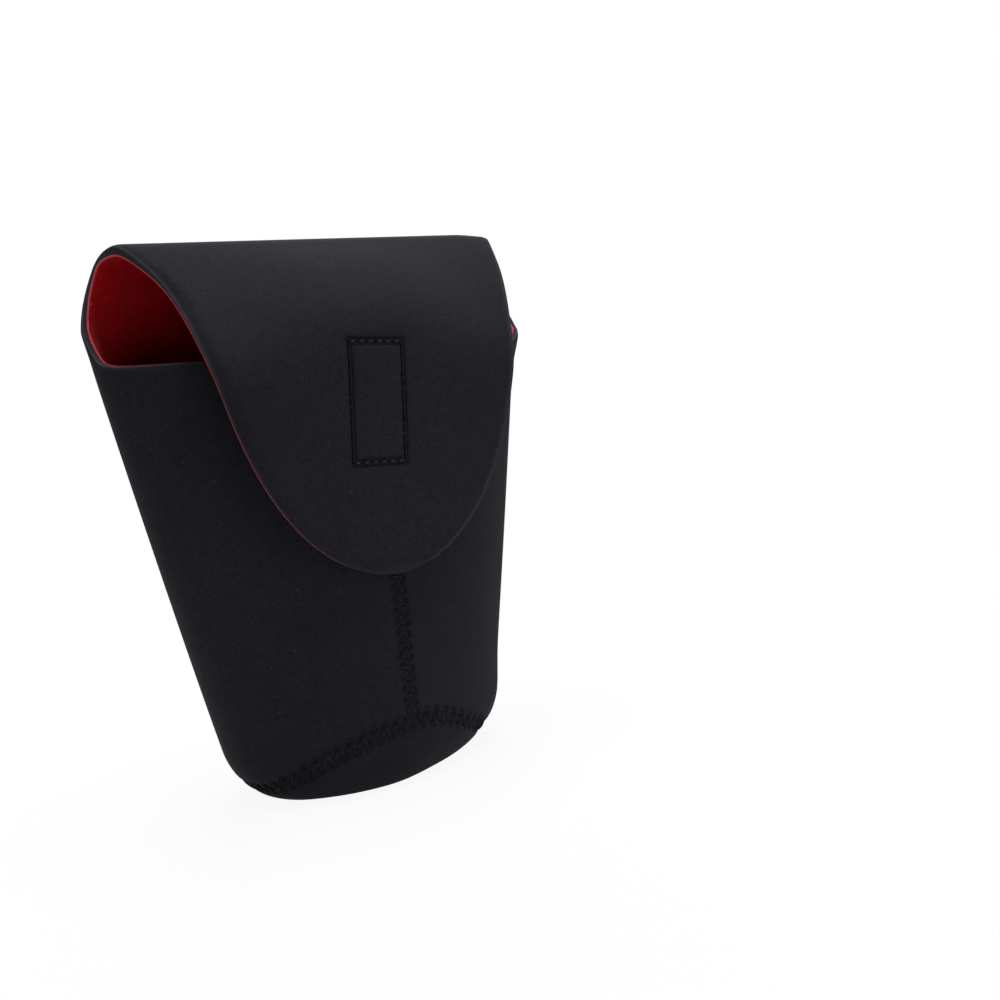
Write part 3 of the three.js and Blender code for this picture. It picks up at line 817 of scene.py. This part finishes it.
def knit_finish(name, dark, light, lint_and_highlight, wale, fuzz_highlight_share):
    """Fine jersey knit: columns of V-shaped stitches, mottled yarn, a little lint on the face, painted
    shade in needle holes and grooves, and paler frayed cut edges with a painted highlight."""
    f = Finish(name, Roughness=0.95, Sheen_Weight=0.03, Sheen_Roughness=0.55, Specular_IOR_Level=0.1)
    across, along = f.pattern()
    column = abs((across / wale).fract() - 0.5) * 2
    stitch = ((along / (0.86 * wale) + column * 0.5) * (2 * math.pi)).sine() * 0.5 + 0.5
    loops = stitch * 0.6 + (1 - column) * 0.4
    fine = f.noise(2600.0, 2.0)
    mottle = f.noise(420.0, 3.0, 0.6)
    cloud = f.noise(38.0, 2.0)
    tone = fine * 0.7 + mottle * 0.18 + cloud * 0.12
    lint = f.noise(900.0, 1.0).between(0.785, 0.83)
    colour = f.mix(tone.between(0.36, 0.66), dark, light)
    colour = f.mix(lint * 0.35, colour, lint_and_highlight)
    height = loops * 0.55 + fine * 0.45 + lint * 0.6
    painted_shade_and_fray = f.painted_shade_and_fray()
    # painted shade: needle holes, grooves and seams are darkened nearly to black
    colour = f.mix(painted_shade_and_fray.most(0.0) * 0.96, colour, (0.002, 0.002, 0.0024, 1.0))
    # paler frayed cut edges: partly paler fuzz, partly a painted highlight where the fibres catch the light
    edge = (0 - painted_shade_and_fray).between(0.05, 0.9) * (mottle * 0.8 + 0.5)
    return f.surface(
        Base_Color=f.mix(edge * fuzz_highlight_share, colour, lint_and_highlight),
        Normal=f.bump(height, 0.5, 0.00016),
    )


def foam_finish():
    """Cut edge of closed-cell foam: fine open cells with lighter walls."""
    f = Finish("cut_foam", Roughness=0.97, Specular_IOR_Level=0.15)
    cells = f.node("ShaderNodeTexVoronoi", {}, {"Vector": f.place(), "Scale": 2300.0})
    grain = f.noise(700.0, 3.0)
    colour = f.mix(cells.between(0.2, 0.7) * 0.6 + grain * 0.4, linear(34, 33, 38), linear(55, 54, 60))
    return f.surface(Base_Color=colour, Normal=f.bump(cells + grain * 0.5, 0.6, 0.0002))


def thread_finish():
    """Twisted polyester thread: plies that wind round it with painted shade between them, and painted shade
    where it sinks into holes and grooves.
    """
    f = Finish("sewing_thread", Roughness=0.85, Specular_IOR_Level=0.04)
    turn, along = f.pattern()
    ply = ((turn * 2 + along / 0.55) * (2 * math.pi)).sine() * 0.5 + 0.5
    colour = f.mix(ply * 0.7 + f.noise(500.0) * 0.3, linear(30, 29, 34), linear(80, 79, 86))
    # painted shade where the thread dives into a needle hole or lies in a groove
    colour = f.mix(f.painted_shade_and_fray() * 0.96, colour, (0.003, 0.003, 0.0035, 1.0))
    return f.surface(Base_Color=colour, Normal=f.bump(ply, 0.6, 0.00008))


def tape_finish(name, dark, light, pitch):
    """Woven nylon tape: warp and weft ribs that cross over and under."""
    f = Finish(name, Roughness=0.8, Specular_IOR_Level=0.3)
    across, along = f.pattern()
    warp = (across * (math.pi / pitch)).sine()
    weft = (along * (math.pi / pitch)).sine()
    weave = warp * weft * 0.5 + 0.5
    colour = f.mix(weave * 0.6 + f.noise(800.0) * 0.4, dark, light)
    return f.surface(Base_Color=colour, Normal=f.bump(weave, 0.7, 0.00012))


# last of each: colour of lint, and of the paler frayed edges, which carry a painted highlight
KNIT_COLOURS = linear(27, 26, 31), linear(39, 38, 46), linear(120, 116, 122)
LINING_COLOURS = linear(120, 1, 8), linear(165, 3, 16), linear(232, 100, 114)
BLACK_KNIT = knit_finish("black_knit", *KNIT_COLOURS, wale=0.42, fuzz_highlight_share=0.24)
RED_LINING = knit_finish("red_lining", *LINING_COLOURS, wale=0.4, fuzz_highlight_share=0.62)
CUT_FOAM = foam_finish()
THREAD = thread_finish()
HOOK_FINISH = tape_finish("hook_tape", linear(30, 30, 33), linear(58, 58, 63), 0.5)
LOOP_FINISH = tape_finish("loop_tape", linear(26, 26, 29), linear(50, 50, 55), 0.5)


# Camera
CAMERA_AT = (-163.706, -303.694, 127.258)
CAMERA_YAW, CAMERA_PITCH, CAMERA_ROLL = (math.radians(a) for a in (36.978, 6.846, 5.030))
FOCAL_PIXELS, FRAME_PIXELS = 1030.0, 1000.0


def make_camera():
    """Camera from its place, yaw from +Y to +X, downward pitch and roll about its line of sight."""
    data = bpy.data.cameras.new("camera")
    data.sensor_width = 36.0
    data.lens = data.sensor_width * FOCAL_PIXELS / FRAME_PIXELS
    data.clip_start, data.clip_end = 0.01, 50.0
    camera = bpy.data.objects.new("camera", data)
    turns = (-CAMERA_YAW, "Z"), (math.pi / 2 - CAMERA_PITCH, "X"), (-CAMERA_ROLL, "Z")
    yaw, pitch, roll = (Matrix.Rotation(angle, 4, axis) for angle, axis in turns)
    camera.matrix_world = Matrix.Translation(Vector(CAMERA_AT) * MM) @ yaw @ pitch @ roll
    bpy.context.scene.collection.objects.link(camera)
    bpy.context.scene.camera = camera


make_camera()


# Wall: one sheet round the pouch, slit at the front middle
def wall_columns(fine, coarse):
    """Lines round the wall: close together beside the front seam, one at each place where the cut edge
    meets the strip over the fold."""
    mouth = 0.5 - 0.25 * float(strip_half_width(STRIP_FROM)) / QUARTER
    edge = [0.0, 0.00025, 0.0009, 0.002]
    half = joined(np.array(edge), spaced(edge[-1], 0.024, fine), spaced(0.024, mouth, coarse))
    half = joined(half, spaced(mouth, 0.5, coarse))
    return joined(half, 1 - half[::-1])


def wall_part(u, offsets, step, edge):
    """Lengths, points, normals and pattern coordinates of the wall on lines u, rows first: offsets above
    the base seam, then evenly up, then close rows that round the cut edge off. Then the distances of
    each point to the mouth's cut edge and to the slit. Where the strip over the fold goes on, the mouth's
    edge is the corner at which it leaves the wall."""
    total = climb(u)
    low = BASE_RADIUS + offsets[-1]
    count = int(round((total.max() - low) / step))
    close = np.repeat((BASE_RADIUS + np.array(offsets))[None], len(u), 0)
    even = low + (total - edge[0] - low)[:, None] * np.linspace(0, 1, count + 1)[1:]
    m = np.concatenate([close, even, total[:, None] - np.array(edge[1:])], 1)
    p, n, e = on_skin(u, m)
    girth = running(lengths(np.diff(p, axis=0)))
    girth = girth - girth[-1:] / 2
    below = total[:, None] - m
    cut = rim_at(u) < STRIP_FROM + 1e-6
    near = np.minimum(u % 1, 1 - u % 1)
    corner = near[cut].max()
    across = (near - corner) * strip_half_width(STRIP_FROM) / (0.5 - corner)
    to_rim = np.where(cut[:, None], below, np.hypot(across[:, None], below))
    x = np.where(np.abs(wrap(u))[:, None] < 0.2, p[..., 0], FAR)
    p[0, :, 0] += KEEP_APART
    p[-1, :, 0] -= KEEP_APART
    return (a.swapaxes(0, 1) for a in (m, p, n, np.stack([girth, e], -1), to_rim, x))


def build_wall():
    """Knit, foam and lining of the wall."""
    u = wall_columns(0.3 / 240, 0.66 / 250)
    m, *grid, to_rim, x = wall_part(u, KNIT_ROWS, 0.77, [0.7, 0.32, 0.14, 0.04, 0])
    dents, painted_shade_and_fray = seam_dents(u[None], x, m)
    dents = dents + 0.8 * (round_off(m - BASE_RADIUS, SEAM_ROUND) + round_off(np.abs(x), SEAM_ROUND))
    dents = dents + round_off(to_rim, EDGE_ROUND)
    last = len(m) - 1
    few = np.unique([0, 3, 6, 9, *np.linspace(12, last - 6, 12).astype(int), *range(last - 5, last + 1)])
    top = dents + pressed(to_rim)
    bottom = KNIT + np.minimum(dents, 0.1) + pressed(to_rim)
    # paler frayed mouth edge with a painted highlight, kept below 0
    fuzz_and_highlight = -np.exp(-to_rim / FUZZ_HIGHLIGHT_WIDTH)
    knit = layer("wall_knit", "wall_outer_knit", BLACK_KNIT, grid, top, bottom, painted_shade_and_fray + fuzz_and_highlight, fuzz_and_highlight, few)

    u = wall_columns(1.0 / 240, 1.5 / 250)
    m, *grid, to_rim, x = wall_part(u, FOAM_ROWS, 9.0, [*RIM_ROWS, FOAM_SHY])
    top = FOAM_FROM + SEAM_SINK * np.maximum(bell(x, 3.2), bell(m - BASE_RADIUS, 3.6)) + pressed(to_rim)
    bottom = LINING_FROM - BOND - nipped(to_rim)
    foam = layer("wall_foam_core", "wall_foam", CUT_FOAM, grid, top, bottom)

    m, *grid, to_rim, x = wall_part(u, LINING_ROWS, 2.2, [*RIM_ROWS, 0.2, 0.05, 0])
    valley = LINING_VALLEY * np.maximum(bell(x, 2.4), bell(m - BASE_RADIUS, 2.8)) + nipped(to_rim)
    bottom = CLOTH - valley - round_off(to_rim, LINING_ROUND)
    # painted shade along the seams, less the paler frayed mouth edge with its painted highlight
    sewn = bell(np.minimum(m - BASE_RADIUS, np.abs(x)), SEAM_SHADE) - np.exp(-to_rim / FUZZ_HIGHLIGHT_WIDTH)
    names = "wall_red_lining", "wall_lining"
    return knit, foam, layer(*names, RED_LINING, grid, LINING_FROM - valley, bottom, sewn, sewn)


# Base: a disc that is flat over the foot and folded up round it to the base seam
def base_part(count, offsets, rows):
    """Lines of the base, and its lengths, points, normals and pattern coordinates, rows first: flat foot,
    heel, then close rows at offsets below the seam."""
    u = np.linspace(0, 1, count, endpoint=False)
    foot = lengths(bag(u, 0.0))[:, None]
    flat = foot * np.linspace(0.1, 1, 6)[:-1]
    heel = foot + (BASE_RADIUS - offsets[-1] - foot) * np.linspace(0, 1, rows + 1)
    close = np.repeat((BASE_RADIUS - np.array(offsets[-2::-1]))[None], count, 0)
    m = np.concatenate([flat, heel, close], 1)
    p, n, _ = on_skin(u, m)
    g = 2 * math.pi * u[:, None]
    uv = np.stack([m * np.sin(g), m * np.cos(g)], -1)
    return (u, *(a.swapaxes(0, 1) for a in (m, p, n, uv)))


def build_base():
    """Knit, foam and lining of the base."""
    u, m, *grid = base_part(396, KNIT_ROWS, 16)
    dents, painted_shade_and_fray = seam_dents(u[None], np.full(m.shape, FAR), m)
    dents = dents + 0.8 * round_off(BASE_RADIUS - m, SEAM_ROUND)
    few = np.unique([0, *np.linspace(5, len(m) - 1, 9).astype(int)])
    bottom = KNIT + np.minimum(dents, 0.1)
    knit = layer("base_knit", "base_outer_knit", BLACK_KNIT, grid, dents, bottom, painted_shade_and_fray, 0.0, few, True)

    _, m, *grid = base_part(180, FOAM_ROWS, 7)
    top = FOAM_FROM + SEAM_SINK * bell(m - BASE_RADIUS, 3.6)
    foam = layer("base_foam_core", "base_foam", CUT_FOAM, grid, top, LINING_FROM - BOND, ring=True)

    _, m, *grid = base_part(180, LINING_ROWS, 12)
    valley = LINING_VALLEY * bell(m - BASE_RADIUS, 2.8)
    # painted shade along the base seam
    sewn = bell(m - BASE_RADIUS, SEAM_SHADE)
    names, faces = ("base_red_lining", "base_lining"), (LINING_FROM - valley, CLOTH - valley)
    return knit, foam, layer(*names, RED_LINING, grid, *faces, sewn, sewn, ring=True)


# Strip over the fold, and the rest of the flap. Their layers by name, node and finish, the depths of both
# faces, how far each ends inside the cut edge, and the rounding of both faces there
LAYERS = [
    ("knit", "outer_knit", BLACK_KNIT, 0.0, KNIT, 0.0, EDGE_ROUND, 0.0),
    ("foam_core", "foam", CUT_FOAM, FOAM_FROM, LINING_FROM - BOND, FOAM_SHY, 0.0, 0.0),
    ("red_lining", "lining", RED_LINING, LINING_FROM, CLOTH, 0.0, 0.0, LINING_ROUND),
]


def flap_columns(half, shy, inner_x, outer_step):
    """Places across the flap for each row from +X to -X as lengths from the middle: fixed ones near the
    middle, even ones out to the side, and close ones that round the cut edge off."""
    limit = np.minimum(inner_x.max(), 0.5 * half)[:, None]
    middle = inner_x / inner_x.max() * limit
    edge = half[:, None] - shy
    start = edge - np.minimum(EDGE_SHARES.max(), 0.2 * (edge - limit))
    count = int(round((half.max() - inner_x.max()) / outer_step))
    run = limit + (start - limit) * np.linspace(0, 1, count + 1)[1:]
    last = edge - (edge - start) * EDGE_SHARES[::-1][1:] / EDGE_SHARES.max()
    one_side = np.concatenate([run, last], 1)
    return np.concatenate([-one_side[:, ::-1], middle, one_side], 1), edge


def build_strip():
    """Knit, foam and lining of the strip over the fold."""
    made = []
    stops = joined(
        spaced(STRIP_FROM, FOLD_TOP, 1.5),
        spaced(FOLD_TOP, HINGE_LENGTH + FOLD_RUN, 0.7),
        spaced(HINGE_LENGTH + FOLD_RUN, HINGE_LENGTH + STRIP_TO, 1.2),
    )
    for kind, node, finish, top, bottom, shy, round_top, round_bottom in LAYERS:
        g, edge = flap_columns(strip_half_width(stops), shy, np.linspace(-12, 12, 13), 1.6)
        s = stops[:, None] + 0 * g
        grid = *on_strip(g, s), np.stack([g, s], -1)
        inside = edge - np.abs(g)
        sink = pressed(inside + shy, s - HINGE_LENGTH)
        nip = -nipped(inside + shy, s - HINGE_LENGTH)
        top = top + (nip if finish is RED_LINING else sink) + round_off(inside, round_top)
        bottom = bottom + (sink if finish is BLACK_KNIT else nip) - round_off(inside, round_bottom)
        # paler frayed cut edge with a painted highlight, kept below 0
        fuzz_and_highlight = -np.exp(-inside / FUZZ_HIGHLIGHT_WIDTH)
        made.append(layer("fold_" + kind, "flap_roof_" + node, finish, grid, top, bottom, fuzz_and_highlight, fuzz_and_highlight))
    return made


def tip_rows():
    """Lengths along the flap past the stitched rectangle, closer together towards the tip."""
    start = math.asin((HOOK_END + 2) / FLAP_LENGTH)
    return FLAP_LENGTH * np.sin(np.linspace(start, math.radians(89.2), 34))


def build_flap():
    """Knit, foam and lining of the roof and the tongue."""
    made = []
    stops = joined(
        spaced(STRIP_TO, ROOF_LENGTH - 10, 1.4),
        spaced(ROOF_LENGTH - 10, HOOK_TOP - 1, 0.8),
        spaced(HOOK_TOP - 1, HOOK_END + 2, 0.5),
        tip_rows(),
    )
    coarse = joined(spaced(STRIP_TO, HOOK_END + 2, 1.2), tip_rows())
    for kind, node, finish, top, bottom, shy, round_top, round_bottom in LAYERS:
        is_knit = finish is BLACK_KNIT
        s = stops if is_knit else coarse
        if finish is RED_LINING:
            shy = LINING_SHY * grown(s, ROOF_LENGTH, 20)[:, None]
        g, edge = flap_columns(flap_half_width(s), shy, np.linspace(-15, 15, 69 if is_knit else 16), 1.5)
        s = s[:, None] + 0 * g
        grid = *on_flap(-g, s), np.stack([g, HINGE_LENGTH + s], -1)
        inside = np.minimum(edge - np.abs(g), s.max() - s)
        dents, painted_shade_and_fray = box_dents(-g, s)
        # paler frayed cut edge with a painted highlight, weaker towards the tip
        fuzz_and_highlight = -np.exp(-inside / FUZZ_HIGHLIGHT_WIDTH) * (1 - 0.4 * grown(s, *FUZZ_HIGHLIGHT_FADE))
        press = pressed(inside + shy, s)
        top = top + round_off(inside, round_top)
        bottom = bottom - round_off(inside, round_bottom)
        if is_knit:
            top, bottom = top + dents + press, bottom + 0.2 * dents + press
        elif finish is CUT_FOAM:
            top = top + np.minimum(1.6 * dents, 1.3) + press
        painted_shade_and_fray = painted_shade_and_fray + fuzz_and_highlight if is_knit else fuzz_and_highlight
        made.append(layer("flap_" + kind, "flap_tongue_" + node, finish, grid, top, bottom, painted_shade_and_fray, fuzz_and_highlight))
    return made


# Stitching
PER_LEG = 9  # points along a leg of a zigzag
PER_STITCH = 7  # points along a stitch round a tape


def leg_lift(t, sink, rise):
    """Height of a thread over the cloth along one stitch: out of a needle hole, over, and into the next."""
    return -sink + (sink + rise) * np.abs(np.sin(math.pi * t)) ** 0.45


def zigzag_thread(name, node, turns, width, closed, cloth_at, face, depth):
    """A zigzag thread on the outside (face 1) or the inside (face -1) of a seam, at a depth below the
    outside: legs from one side of the seam to the other, each an arch between two holes. cloth_at gives
    the cloth's point and normal at turns along and a distance across."""
    count = 2 * turns * PER_LEG
    k = np.arange(count if closed else count + 1) / PER_LEG
    leg = np.floor(k)
    t = k - leg
    side = np.where(leg % 2 == 0, 1.0, -1.0)
    p, n = cloth_at(k / 2, width / 2 * side * (2 * t - 1))
    p = p + n * (face * leg_lift(t, 0.55, THREAD_RADIUS + 0.06) - depth)[:, None]
    # painted shade along each leg: darkest where it dives into a hole, lightest on top of the arch, more or
    # less from leg to leg at random
    uneven = 0.5 + 0.5 * np.sin(GOLDEN * leg * leg)
    painted_shade_and_fray = np.clip(0.2 + 0.45 * uneven + 0.9 * np.abs(2 * t - 1) ** 2.2, 0, 1)
    return tube(name, node, p, n * face, THREAD_RADIUS, closed, painted_shade_and_fray)


def on_front(x, m):
    """Points and normals of the front wall at x and the length m up the front middle."""
    step = 1e-3
    flat_x, flat_m = np.ravel(x), np.ravel(m)
    scale = on_skin(np.full(len(flat_m), step), flat_m[:, None])[0][:, 0, 0]
    p, n, _ = on_skin(flat_x * step / scale, flat_m[:, None])
    return p[:, 0].reshape(*np.shape(x), 3), n[:, 0].reshape(*np.shape(x), 3)


def at_front_seam(turns, across):
    return on_front(across, lerp(FRONT_FROM, FRONT_TO, turns / FRONT_TURNS))


def at_base_seam(turns, across):
    p, n, _ = on_skin(turns / BASE_TURNS, (BASE_RADIUS + across)[:, None])
    return p[:, 0], n[:, 0]


def build_seams():
    """Threads of the front seam, which has two ends, and of the base seam, outside and inside."""
    made = []
    for seam, *run in (
        ("front", FRONT_TURNS, FRONT_SEAM_WIDTH, False, at_front_seam),
        ("base", BASE_TURNS, BASE_SEAM_WIDTH, True, at_base_seam),
    ):
        for place, node, face, depth in (("", "", 1, 0.45), ("_inside", "_inner", -1, CLOTH - 0.25)):
            names = f"{seam}_zigzag{place}", f"{seam}_seam{node}_thread"
            made.append(zigzag_thread(*names, *run, face, depth))
    return made


def box_path(top, end):
    """Places round a stitched rectangle: across the top, down, back along the bottom and up, with the
    share of each stitch and whether it is in a long side."""
    side = np.arange(BOX_ACROSS * PER_STITCH) / (BOX_ACROSS * PER_STITCH)
    down = np.arange(BOX_ALONG * PER_STITCH) / (BOX_ALONG * PER_STITCH)
    x = np.concatenate([lerp(-1, 1, side), 1 + 0 * down, lerp(1, -1, side), -1 + 0 * down]) * BOX_HALF
    s = np.concatenate([top + 0 * side, lerp(top, end, down), end + 0 * side, lerp(end, top, down)])
    k = np.concatenate([side * BOX_ACROSS, down * BOX_ALONG] * 2)
    beside = np.abs(np.abs(x) - BOX_HALF) < 0.01
    return x, s, k % 1, beside & (s > top) & (s < end)


def box_thread(name, node, surface, top, end, face, height, radius=FINE_THREAD, low=0.0):
    """Lockstitch round a tape: each stitch is an arch between two needle holes, with painted shade towards
    each hole. Along the tape's long sides it lies lower and is painted dark as shade all along."""
    x, s, t, beside = box_path(top, end)
    p, n = surface(x, s)
    drop = np.where(beside, low, 0.0)
    p = p + n * (height + face * (leg_lift(t, 0.35, radius) - drop))[:, None]
    # painted shade: full along the long sides, towards the holes elsewhere
    painted_shade_and_fray = np.where(beside, 1.0, smooth(1.5 * np.abs(2 * t - 1)))
    return tube(name, node, p, n * face, radius, True, painted_shade_and_fray)


# Tapes
LOOP_START = FRONT_TOTAL - LOOP_DROP
LOOP_STOP = LOOP_START - TAPE_LENGTH
LOOP_LIFT = THREAD_LIFT + 2 * THREAD_RADIUS + BOND
LOOP_FACE = LOOP_LIFT + LOOP_WEB
HOOK_FACE = CLOTH + BOND + HOOK_WEB
HOOK_PITCH = 1.35
LOOP_PITCH = 1.0
# Points of one hook and one loop, by the distance aside and up
HOOK_CURVE = np.array([[0, 0], [0, 0.42], [0.07, 0.68], [0.24, 0.8], [0.4, 0.7]])
LOOP_CURVE = np.array([[-0.3, 0], [-0.36, 0.35], [-0.12, 0.66], [0.2, 0.6], [0.36, 0.3], [0.28, 0]])


def under_flap(x, s):
    """Points and normals of the flap where the crooked tape is, x from right to left."""
    x, s = turned(-x, s, BOX_TURN)
    return on_flap(x + BOX_SHIFT, s)


def edged(low, high):
    """Places from low to high, closer together at both ends, where the tape's edge is round."""
    ends = np.array([0, 0.05, 0.2])
    return joined(low + ends, spaced(low + 0.2, high - 0.2, 0.8), high - ends[::-1])


def tape_grid(surface, from_s, to_s):
    """Places, normals, distances to the edge and pattern coordinates of a tape on a surface."""
    half = TAPE_WIDTH / 2
    x, s = np.meshgrid(edged(-half, half), edged(from_s, to_s))
    p, n = surface(x, s)
    inside = np.minimum(half - np.abs(x), np.minimum(s - from_s, to_s - s))
    return p, n, inside, np.stack([x, s], -1)


def add_bristles(body, at, up, away, curve, radius):
    """Points, faces and pattern coordinates of a tape between two grids, with a small four-sided tube at
    every place: the curve gives its points by the distance away and up."""
    outer, inner, uv = body
    points, faces = flattened(outer, inner), shell(len(outer), len(inner), outer.shape[1])
    count, steps = len(at), len(curve)
    side = np.cross(up, away)
    centre = at[:, None] + away[:, None] * curve[None, :, :1] + up[:, None] * curve[None, :, 1:]
    slope = unit(np.gradient(curve, axis=0))
    cross = away[:, None] * -slope[None, :, 1:] + up[:, None] * slope[None, :, :1]
    g = np.arange(4) * math.pi / 2
    ring = side[:, None, None] * np.cos(g)[:, None] + cross[:, :, None] * np.sin(g)[:, None]
    ring = centre[:, :, None] + radius * ring
    first = len(points)
    b, j, i = np.meshgrid(np.arange(count), np.arange(steps - 1), np.arange(4), indexing="ij")
    k = (i + 1) % 4
    low, high = first + (b * steps + j) * 4, first + (b * steps + j + 1) * 4
    new = listed(low + i, low + k, high + k, high + i)
    start = first + np.arange(count)[:, None] * steps * 4
    new += (start + np.arange(4)[::-1]).tolist() + (start + (steps - 1) * 4 + np.arange(4)).tolist()
    flat = np.repeat(np.stack([at[:, 0], at[:, 2]], -1), steps * 4, 0)
    points = np.concatenate([points, ring.reshape(-1, 3)])
    return points, faces + new, np.concatenate([flattened(uv, uv), flat])


def build_tapes():
    """Hook tape under the tongue and loop tape on the front wall, with hooks and loops on their faces."""
    p, n, inside, uv = tape_grid(under_flap, HOOK_TOP, HOOK_END)
    face = at_depth(p, n, HOOK_FACE - round_off(inside, LINING_ROUND))
    body = at_depth(p, n, CLOTH + BOND), face, uv
    x = np.arange(-8.6, 8.7, HOOK_PITCH)
    x, s = (a.ravel() for a in np.meshgrid(x, np.arange(HOOK_TOP + 1.5, HOOK_END - 1.2, HOOK_PITCH)))
    p, n = under_flap(x, s)
    even = np.round((s - HOOK_TOP) / HOOK_PITCH) % 2 == 0
    lean = np.where(even, 1.0, -1.0)[:, None] * np.array([1.0, 0, 0])
    body = add_bristles(body, p - n * (HOOK_FACE - 0.05), -n, lean, HOOK_CURVE, 0.085)
    hook_piece = make("hook_tape_with_hooks", "hook_tape", HOOK_FINISH, *body)

    p, n, inside, uv = tape_grid(on_front, LOOP_STOP, LOOP_START)
    face = at_depth(p, n, round_off(inside, LINING_ROUND) - LOOP_FACE)
    body = face, at_depth(p, n, -LOOP_LIFT), uv
    x = np.arange(-8.8, 8.9, LOOP_PITCH)
    x, m = (a.ravel() for a in np.meshgrid(x, np.arange(LOOP_STOP + 1.2, LOOP_START - 1.0, LOOP_PITCH)))
    p, n = on_front(x, m)
    turn = GOLDEN * np.arange(len(p))[:, None]
    right = unit(np.cross([0, 0, 1.0], -n))
    lean = right * np.cos(turn) + np.cross(n, right) * np.sin(turn)
    body = add_bristles(body, p + n * (LOOP_FACE - 0.04), n, lean, LOOP_CURVE, 0.07)
    return hook_piece, make("loop_tape_with_loops", "loop_tape", LOOP_FINISH, *body)


def build_tape_stitching():
    """Needle thread and bobbin thread of both tapes."""
    hook = under_flap, BOX_TOP, BOX_END
    loop = on_front, LOOP_STOP + STITCH_INSET, LOOP_START - STITCH_INSET
    return [
        box_thread("hook_tape_box", "hook_tape_stitching", *hook, 1, -0.5, BOX_THREAD, 0.32),
        box_thread("hook_tape_box_under", "hook_tape_bobbin_thread", *hook, -1, -HOOK_FACE),
        box_thread("loop_tape_box", "loop_tape_stitching", *loop, 1, LOOP_FACE),
        box_thread("loop_tape_box_inside", "loop_tape_bobbin_thread", *loop, -1, -CLOTH),
    ]


wall = build_wall()
base = build_base()
strip = build_strip()
flap = build_flap()
seams = build_seams()
hook_piece, loop_piece = build_tapes()
box_threads = build_tape_stitching()


wall_along = np.linspace(BASE_RADIUS, float(climb([0.25])[0]), 30)
wall_line = on_skin(ROUND_U, np.tile(wall_along, (len(ROUND_U), 1)))[0]
strip_along = np.linspace(STRIP_FROM, HINGE_LENGTH + STRIP_TO, 60)
2 * strip_half_width(strip_along)
flap_along = np.linspace(STRIP_TO, FLAP_LENGTH, 120)
2 * flap_half_width(flap_along)

# Pieces that move with the pouch; the strip and the flap are only baked in place
for piece in (*wall, *base, *seams, loop_piece, *box_threads[2:]):
    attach(piece, "pouch")
joints = {j["name"]: Vector(j["pos_m"]) for j in frame["joints"]}


def bend(pieces, parent, child, joint, way, before, after):
    """Bakes each piece's transform in place. The points a length before and a length after the joint along
    the cloth are worked out, but the pieces are not bent.
    """
    start, end = joints[joint] - way * before * MM, joints[joint] + way * after * MM
    for piece in pieces:
        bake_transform(piece)


fold_way = Vector((0, -math.sin(HINGE), math.cos(HINGE)))
bend(strip, "pouch", "flap_roof", "flap_lift", fold_way, 6.2, 6.0)
peel_slope = SLOPE_0 + (ROOF_LENGTH - FOLD_RUN) / ROOF_RADIUS
peel_way = Vector((0, -math.cos(peel_slope), -math.sin(peel_slope)))
bend((*flap, hook_piece, *box_threads[:2]), "flap_roof", "flap_tongue", "tongue_peel", peel_way, 7, 7)


# Floor and light
FLOOR_REACH = 6.0
WORLD_LIGHT = 0.05
LAMP_SIZE = 0.6
LAMP_TARGET = Vector((0, 0, 0.1))


def make_floor():
    """A pale floor that shows nearly white to the camera and keeps a soft shadow."""
    mesh = bpy.data.meshes.new("floor")
    r = FLOOR_REACH
    mesh.from_pydata([(-r, -r, 0), (r, -r, 0), (r, r, 0), (-r, r, 0)], [], [(0, 1, 2, 3)])
    f = Finish("pale_floor", Roughness=0.9, Specular_IOR_Level=0.0, Base_Color=(0.9, 0.9, 0.9, 1.0))
    white = f.node("ShaderNodeEmission", {}, {"Color": (1, 1, 1, 1), "Strength": 1.0})
    away = f.node("ShaderNodeVectorMath", {"operation": "LENGTH"}, {0: f.place()}, "Value")
    whiter = away.between(0.05, 0.3) * 0.08 + 0.92
    shaded = Value(f, f.shader.outputs[0])
    both = f.node("ShaderNodeMixShader", {}, {0: f.seen() * whiter, 1: shaded, 2: white})
    f.feed(f.nodes["Material Output"], {0: both})
    mesh.materials.append(f.material)
    floor = bpy.data.objects.new("floor", mesh)
    bpy.context.scene.collection.objects.link(floor)


def make_world():
    """White to the camera and in reflections, a plain grey light otherwise."""
    world = bpy.data.worlds.new("studio")
    bpy.context.scene.world = world
    tree = Tree(world)
    strength = tree.seen() * (1 - WORLD_LIGHT) + WORLD_LIGHT
    tree.feed(tree.nodes["Background"], {"Color": (1, 1, 1, 1), "Strength": strength})


def make_lamp(name, right, up, towards, power):
    """A square soft lamp that looks at the pouch, by its distances in metres right of the pouch, above it
    and towards the camera, and its power in watts."""
    flat = np.array([math.sin(CAMERA_YAW), math.cos(CAMERA_YAW), 0])
    side = np.array([flat[1], -flat[0], 0])
    data = bpy.data.lights.new(name, "AREA")
    data.shape, data.size, data.energy = "SQUARE", LAMP_SIZE, power
    lamp = bpy.data.objects.new(name, data)
    lamp.location = side * right - flat * towards + np.array([0, 0, up])
    lamp.rotation_mode = "QUATERNION"
    lamp.rotation_quaternion = (LAMP_TARGET - lamp.location).to_track_quat("-Z", "Y")
    bpy.context.scene.collection.objects.link(lamp)


make_floor()
make_world()
make_lamp("key", 0.05, 1.0, 0.05, 9.8)
make_lamp("fill", 0.9, 0.4, 0.5, 1.4)
make_lamp("back", -0.1, 0.7, -0.9, 4.8)

bpy.context.scene.view_settings.view_transform = "Standard"
